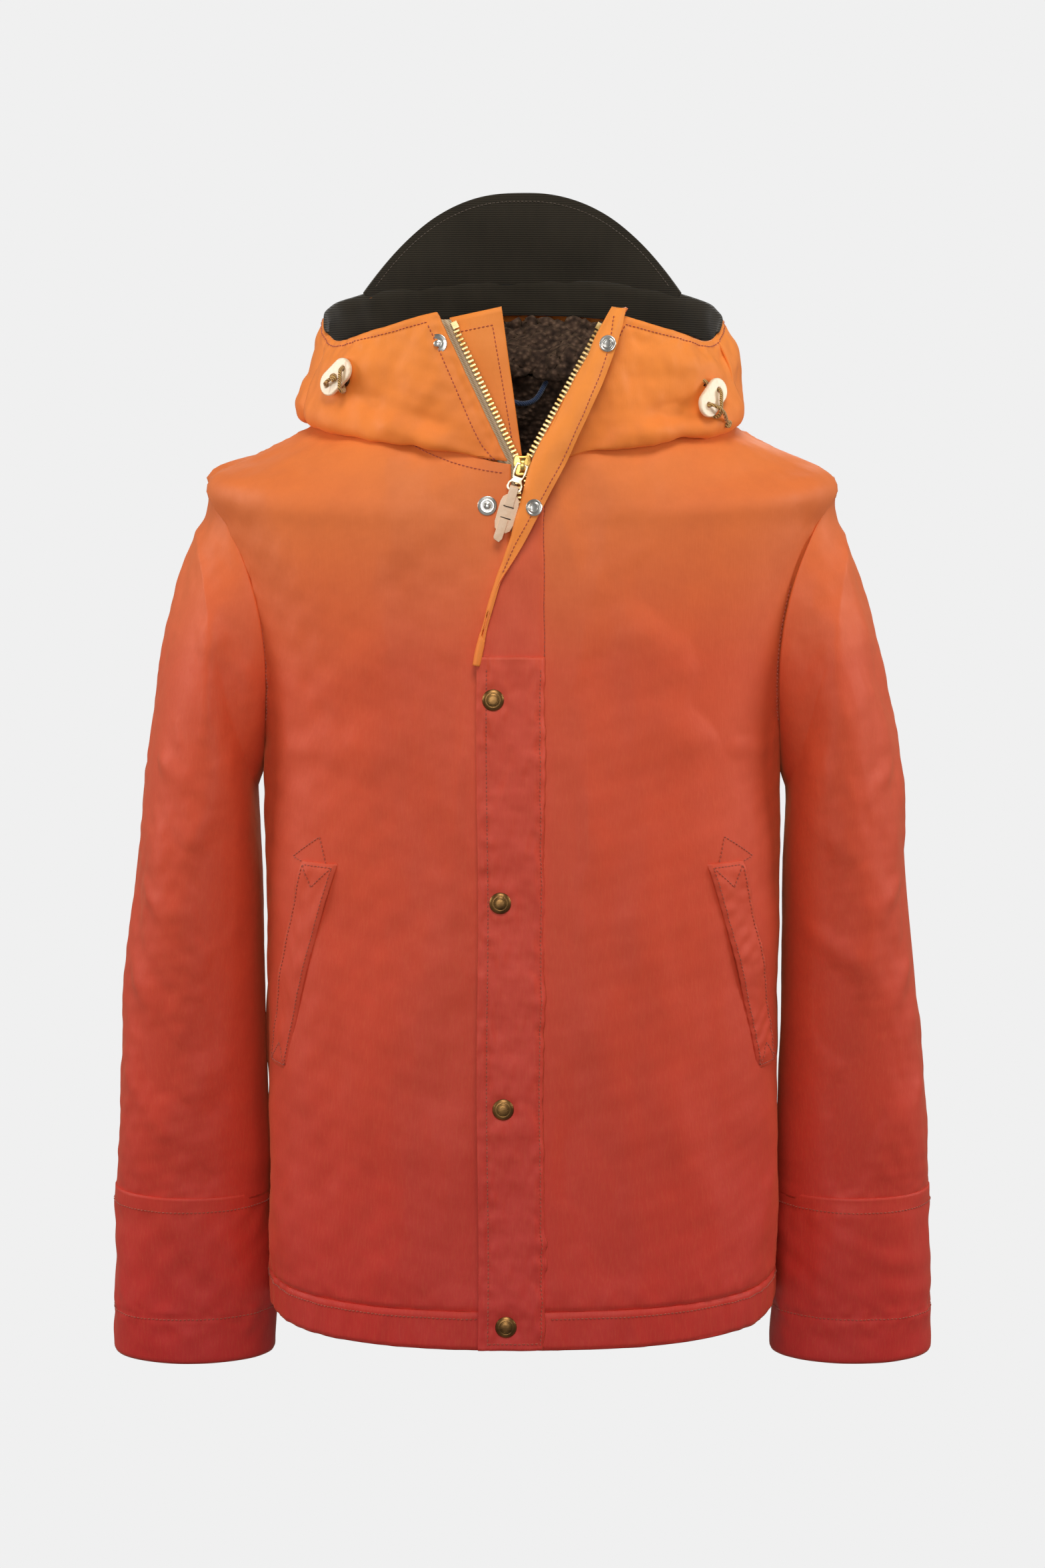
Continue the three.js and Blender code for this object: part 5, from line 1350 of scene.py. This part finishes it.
way = [(-1.2, -5.4), (-3.4, -4.6), (-5.2, -3.6), (-6.1, -1.6), (-6.2, 0.6), (-5.4, 2.8), (-3.6, 4.0),
       (-1.2, 4.8)]
bridge = smooth_way([(0, y, z) for y, z in way], 4)
band = []
for k, p in enumerate(bridge):
    ahead = (bridge[min(k + 1, len(bridge) - 1)] - bridge[max(k - 1, 0)])
    ahead = ahead / np.linalg.norm(ahead)
    side_way = np.array([0, -ahead[2], ahead[1]])
    wide = 1.5 + 0.9 * (abs(k / (len(bridge) - 1) - 0.5) * 2) ** 2
    band.append([p + np.array([sx * wide, 0, 0]) + side_way * 0.45 * so for sx, so in four_corners])
small_part("slider_bridge", band_part(band), slider_place, brass_metal, "slider", slot="brass")

lean = Matrix.Rotation(math.atan(front_lean), 4, "X")
tab_place = slider_place @ Matrix.Translation((0, -4.4, 0)) @ lean @ Matrix.Rotation(math.radians(20), 4, "Y")
tab_half = [(3.9, 0.8), (4.6, 0.4), (4.8, -6), (4.1, -9), (3.5, -11), (4.4, -12.6), (5.5, -14.4),
            (5.7, -17.4), (5.2, -19), (3.9, -20)]
tab_mirrored = [(-x, z) for x, z in tab_half[::-1]]
tab_shape = tab_mirrored[-2:] + tab_half + tab_mirrored[:-2]
smooth_plate("tab_plate", [tab_shape, oblong(3.1, -9, -0.6, 1.2), oblong(3.9, -18.3, -13.6, 1.6)], 1.3, 0.4,
             tab_place, pale_brass, "tab", "zip_tab", slot="brass")

hide = Finish("natural_leather", Roughness=0.55, Coat_Weight=0.08)
pores = hide.noise(420, 4)
tan = hide.noise(40, 5)
leather_hide = hide.finish(
    hide.tones(tan, (0.3, (228, 188, 152)), (0.6, (242, 212, 182)), (0.8, (248, 222, 196))),
    hide.between(pores, 0.2, 0.8) * 0.25 + 0.42, bump=pores + tan * 0.8, depth=0.0004)
pull_place = tab_place @ Matrix.Translation((0, 0, -19.1)) @ Matrix.Rotation(math.radians(-4), 4, "Y")
wide_piece = [(-3.4, -3.4), (3.4, -3.4), (5.8, -5.6), (6.8, -9.5), (6.8, -24), (5.6, -28.6), (3, -30.8),
              (-3, -30.8), (-5.6, -28.6), (-6.8, -24), (-6.8, -9.5), (-5.8, -5.6)]
smooth_plate("pull_strap", [wide_piece], 1.9, 0.5, pull_place @ Matrix.Translation((0, -3.9, 0)),
             leather_hide, "pull", "zip_pull", slot="leather")
smooth_plate("pull_top_strap", [[(-3.1, 2.6), (3.1, 2.6), (3.1, -11.6), (-3.1, -11.6)]], 1.1, 0.3,
             pull_place @ Matrix.Translation((0, -5.5, 0)), leather_hide, "pull", slot="leather")
smooth_plate("pull_tail", [[(-3.1, -20.6), (3.1, -20.6), (3.2, -35), (1.6, -38), (-2.6, -36.6), (-3.2, -35)]],
             1.3, 0.4, pull_place @ Matrix.Translation((0, -5.5, 0)) @ Matrix.Rotation(0.04, 4, "Y"),
             leather_hide, "pull", slot="leather")
for cut_z in (-11.9, -20.3):
    smooth_plate("pull_slot_%d" % -cut_z, [oblong(3.9, cut_z - 0.45, cut_z + 0.45, 0.4)], 2.3, 0.3,
                 pull_place @ Matrix.Translation((0, -3.95, 0)), dark_satin, "pull", slot="leather")
loop_way = [(-5.4, -3), (-4.4, 0.8), (-2.4, 2.6), (0, 2.7), (2.2, 1.4), (2.4, -1), (0.6, -3), (-2.2, -3.6),
            (-3.6, -4.6)]
ring_loop = [pull_place @ Vector(p) for p in smooth_way([(0, y, z) for y, z in loop_way], 5)]
ring = []
for k, p in enumerate(ring_loop):
    ahead = (ring_loop[min(k + 1, len(ring_loop) - 1)] - ring_loop[max(k - 1, 0)]).normalized()
    wide = (pull_place.to_3x3() @ Vector((1, 0, 0))).normalized()
    deep = ahead.cross(wide)
    ring.append([p + wide * sx * 3.0 + deep * (0.5 * so) for sx, so in four_corners])
small_part("pull_loop", band_part(ring), Matrix(), leather_hide, "pull", slot="leather")


# ---------- Wind guard ----------
# A strip of the hood's cloth behind the zip shows in the open neck, beside the right-hand row of teeth. Its
# top is slanted, and a row of thread runs near its edge.

guard_across = np.linspace(0, 1, 31)[None, :]
guard_z = 8 + (745 - 8 * (1 - guard_across)) * np.linspace(0, 1, 200)[:, None]
rise = np.clip((guard_z - vee_foot) / (753 - vee_foot), 0, 1)
narrow = np.clip((guard_z - 560) / (vee_foot - 560), 0, 1)
left_edge, right_edge = -30 - 24 * rise, 18 - 18 * narrow - 15 * rise
guard_out = back_gap - plate / 2 - plate_round
guard = on_front(left_edge + (right_edge - left_edge) * guard_across, guard_out, guard_z)
guard = raised(guard, 0.5 * rumple(guard, 40, 171))
cloth("wind_guard_cloth", guard, 1.5, collar_cloth, "coat", "wind_guard")
stitches("wind_guard_stitches", [on_surface(guard, [(150, 26), (196, 23.5), (196, 1)], 0.12)], "coat")


# ---------- Pockets ----------
# A slanted welt with both ends tacked in small triangles covers each pocket's slit, and a larger triangle is
# sewn on the coat above it. A bag of dark lining cloth hangs inside.

def slanted(side, inner, outer, low, high, columns, rows):
    z = np.linspace(low, high, rows + 1)[:, None]
    t = (z - welt_low) / (welt_high - welt_low)
    start, end = inner[0] + (40.2 - 62.8) * t + inner[1], outer[0] + (53.6 - 76) * t + outer[1]
    turn = np.radians(start + (end - start) * np.linspace(0, 1, columns + 1)[None, :])
    points = body_point(turn, np.broadcast_to(ring_at(z), turn.shape))
    return on_side(side, points)


for side, name in ((-1, "right"), (1, "left")):
    base = slanted(side, (62.8, 0), (76, 0), welt_low, welt_high, 36, 110)
    seen = base * [side, 1, 1]
    away = np.minimum(np.linspace(0, 110, 111), np.linspace(110, 0, 111))[:, None]
    shift = 3.0 + 0.5 * rumple(seen, 40, 181 + side) + 0.2 * rumple(seen, 13, 183 + side)
    shift -= 1.4 * np.exp(-(away / 3) ** 2)
    column = np.linspace(0, 36, 37)[None, :] if side > 0 else np.linspace(36, 0, 37)[None, :]
    shift -= 1.6 * np.exp(-(column / 2.0) ** 2)
    welt = raised(base, shift)
    cloth(name + "_welt", welt, 1.6, shell_cloth, name + "_welt", "pocket_welt_" + name)
    out_edge = 33 if side > 0 else 3
    in_edge = 3.5 if side > 0 else 32.5
    tacks = [on_surface(welt, [(2, out_edge), (108, out_edge)], 0.12),
             on_surface(welt, [(2, in_edge), (108, in_edge)], 0.12)]
    for end, back in ((2, 13), (108, 97)):
        tacks.append(on_surface(welt, [(end, out_edge), (back, 18), (end, in_edge), (end, out_edge)], 0.12))
    stitches(name + "_welt_stitches", tacks, name + "_welt")
    panel = panels[name]
    corners = []
    for reach, z in ((168, 354), (147, 370), (142, 346), (168, 354)):
        far = (np.abs(panel[..., 0]) - reach) ** 2 + (panel[..., 2] - z) ** 2
        corners.append(np.unravel_index(np.argmin(far), panel.shape[:2]))
    stitches(name + "_pocket_tack", [on_surface(panel, corners, 0.15)], "coat")
    bag = slanted(side, (62.8, -25.5), (76, -1.5), 170, 358, 24, 24)
    for part, deep, size, seed, nodes in (("front", 4.2, 40, 185, ["pocket_bag_" + name]),
                                          ("back", 9.6, 50, 187, [])):
        sheet = raised(bag, -(deep + 0.8 * rumple(bag, size, seed + side)))
        cloth(name + "_pocket_" + part, sheet, 0.8, dark_satin, "coat", *nodes, slot="lining")


# ---------- Eyelets and hang loop ----------
# A dark metal eyelet is set in each hood front for the drawcord. A blue cord loop, from which the coat hangs,
# is sewn in at the back of the neck.

blackened = metal("blackened_eyelet", (86, 72, 56), (40, 33, 28), 0.3)
for side, at_eyelet in eyelet_frames.items():
    ring = turned([(2.4, -3.0), (5.2, -3.0), (5.2, -2.4), (3.6, -2.3), (3.6, 0.6), (5.7, 0.8), (5.5, 1.5),
                   (4.4, 1.9), (3.2, 1.7), (2.4, 0.6), (2.4, -3.0)])
    bmesh.ops.transform(ring, matrix=at_eyelet @ Matrix.Scale(MM, 4), verts=ring.verts)
    mesh = bpy.data.meshes.new(side + "_eyelet")
    ring.to_mesh(mesh)
    ring.free()
    mesh.shade_smooth()
    new_piece(side + "_eyelet", mesh, blackened, "coat", "eyelet_" + side, slot="bronze")

blue = Finish("blue_braid", Roughness=0.75, Sheen_Weight=0.4)
plait = blue.wave("DIAGONAL", 300.0, Distortion=2.0)
blue_braid = blue.finish(blue.tones(plait, (0, (14, 30, 58)), (1, (34, 62, 104))), bump=plait, depth=0.0004)
loop_y0 = 66.5
half_way = [(-24, loop_y0, 699), (-19.2, loop_y0 - 2.5, 694), (-9.6, loop_y0 - 6, 679),
            (0, loop_y0 - 8.5, 676), (9.6, loop_y0 - 6, 679), (19.2, loop_y0 - 2.5, 694), (24, loop_y0, 699)]
new_piece("neck_loop",
          cord_curve("neck_loop", [Vector(placed(p)) for p in smooth_way(half_way, 8)], 2.0 * MM),
          blue_braid, "coat", "hang_loop", slot="loop")
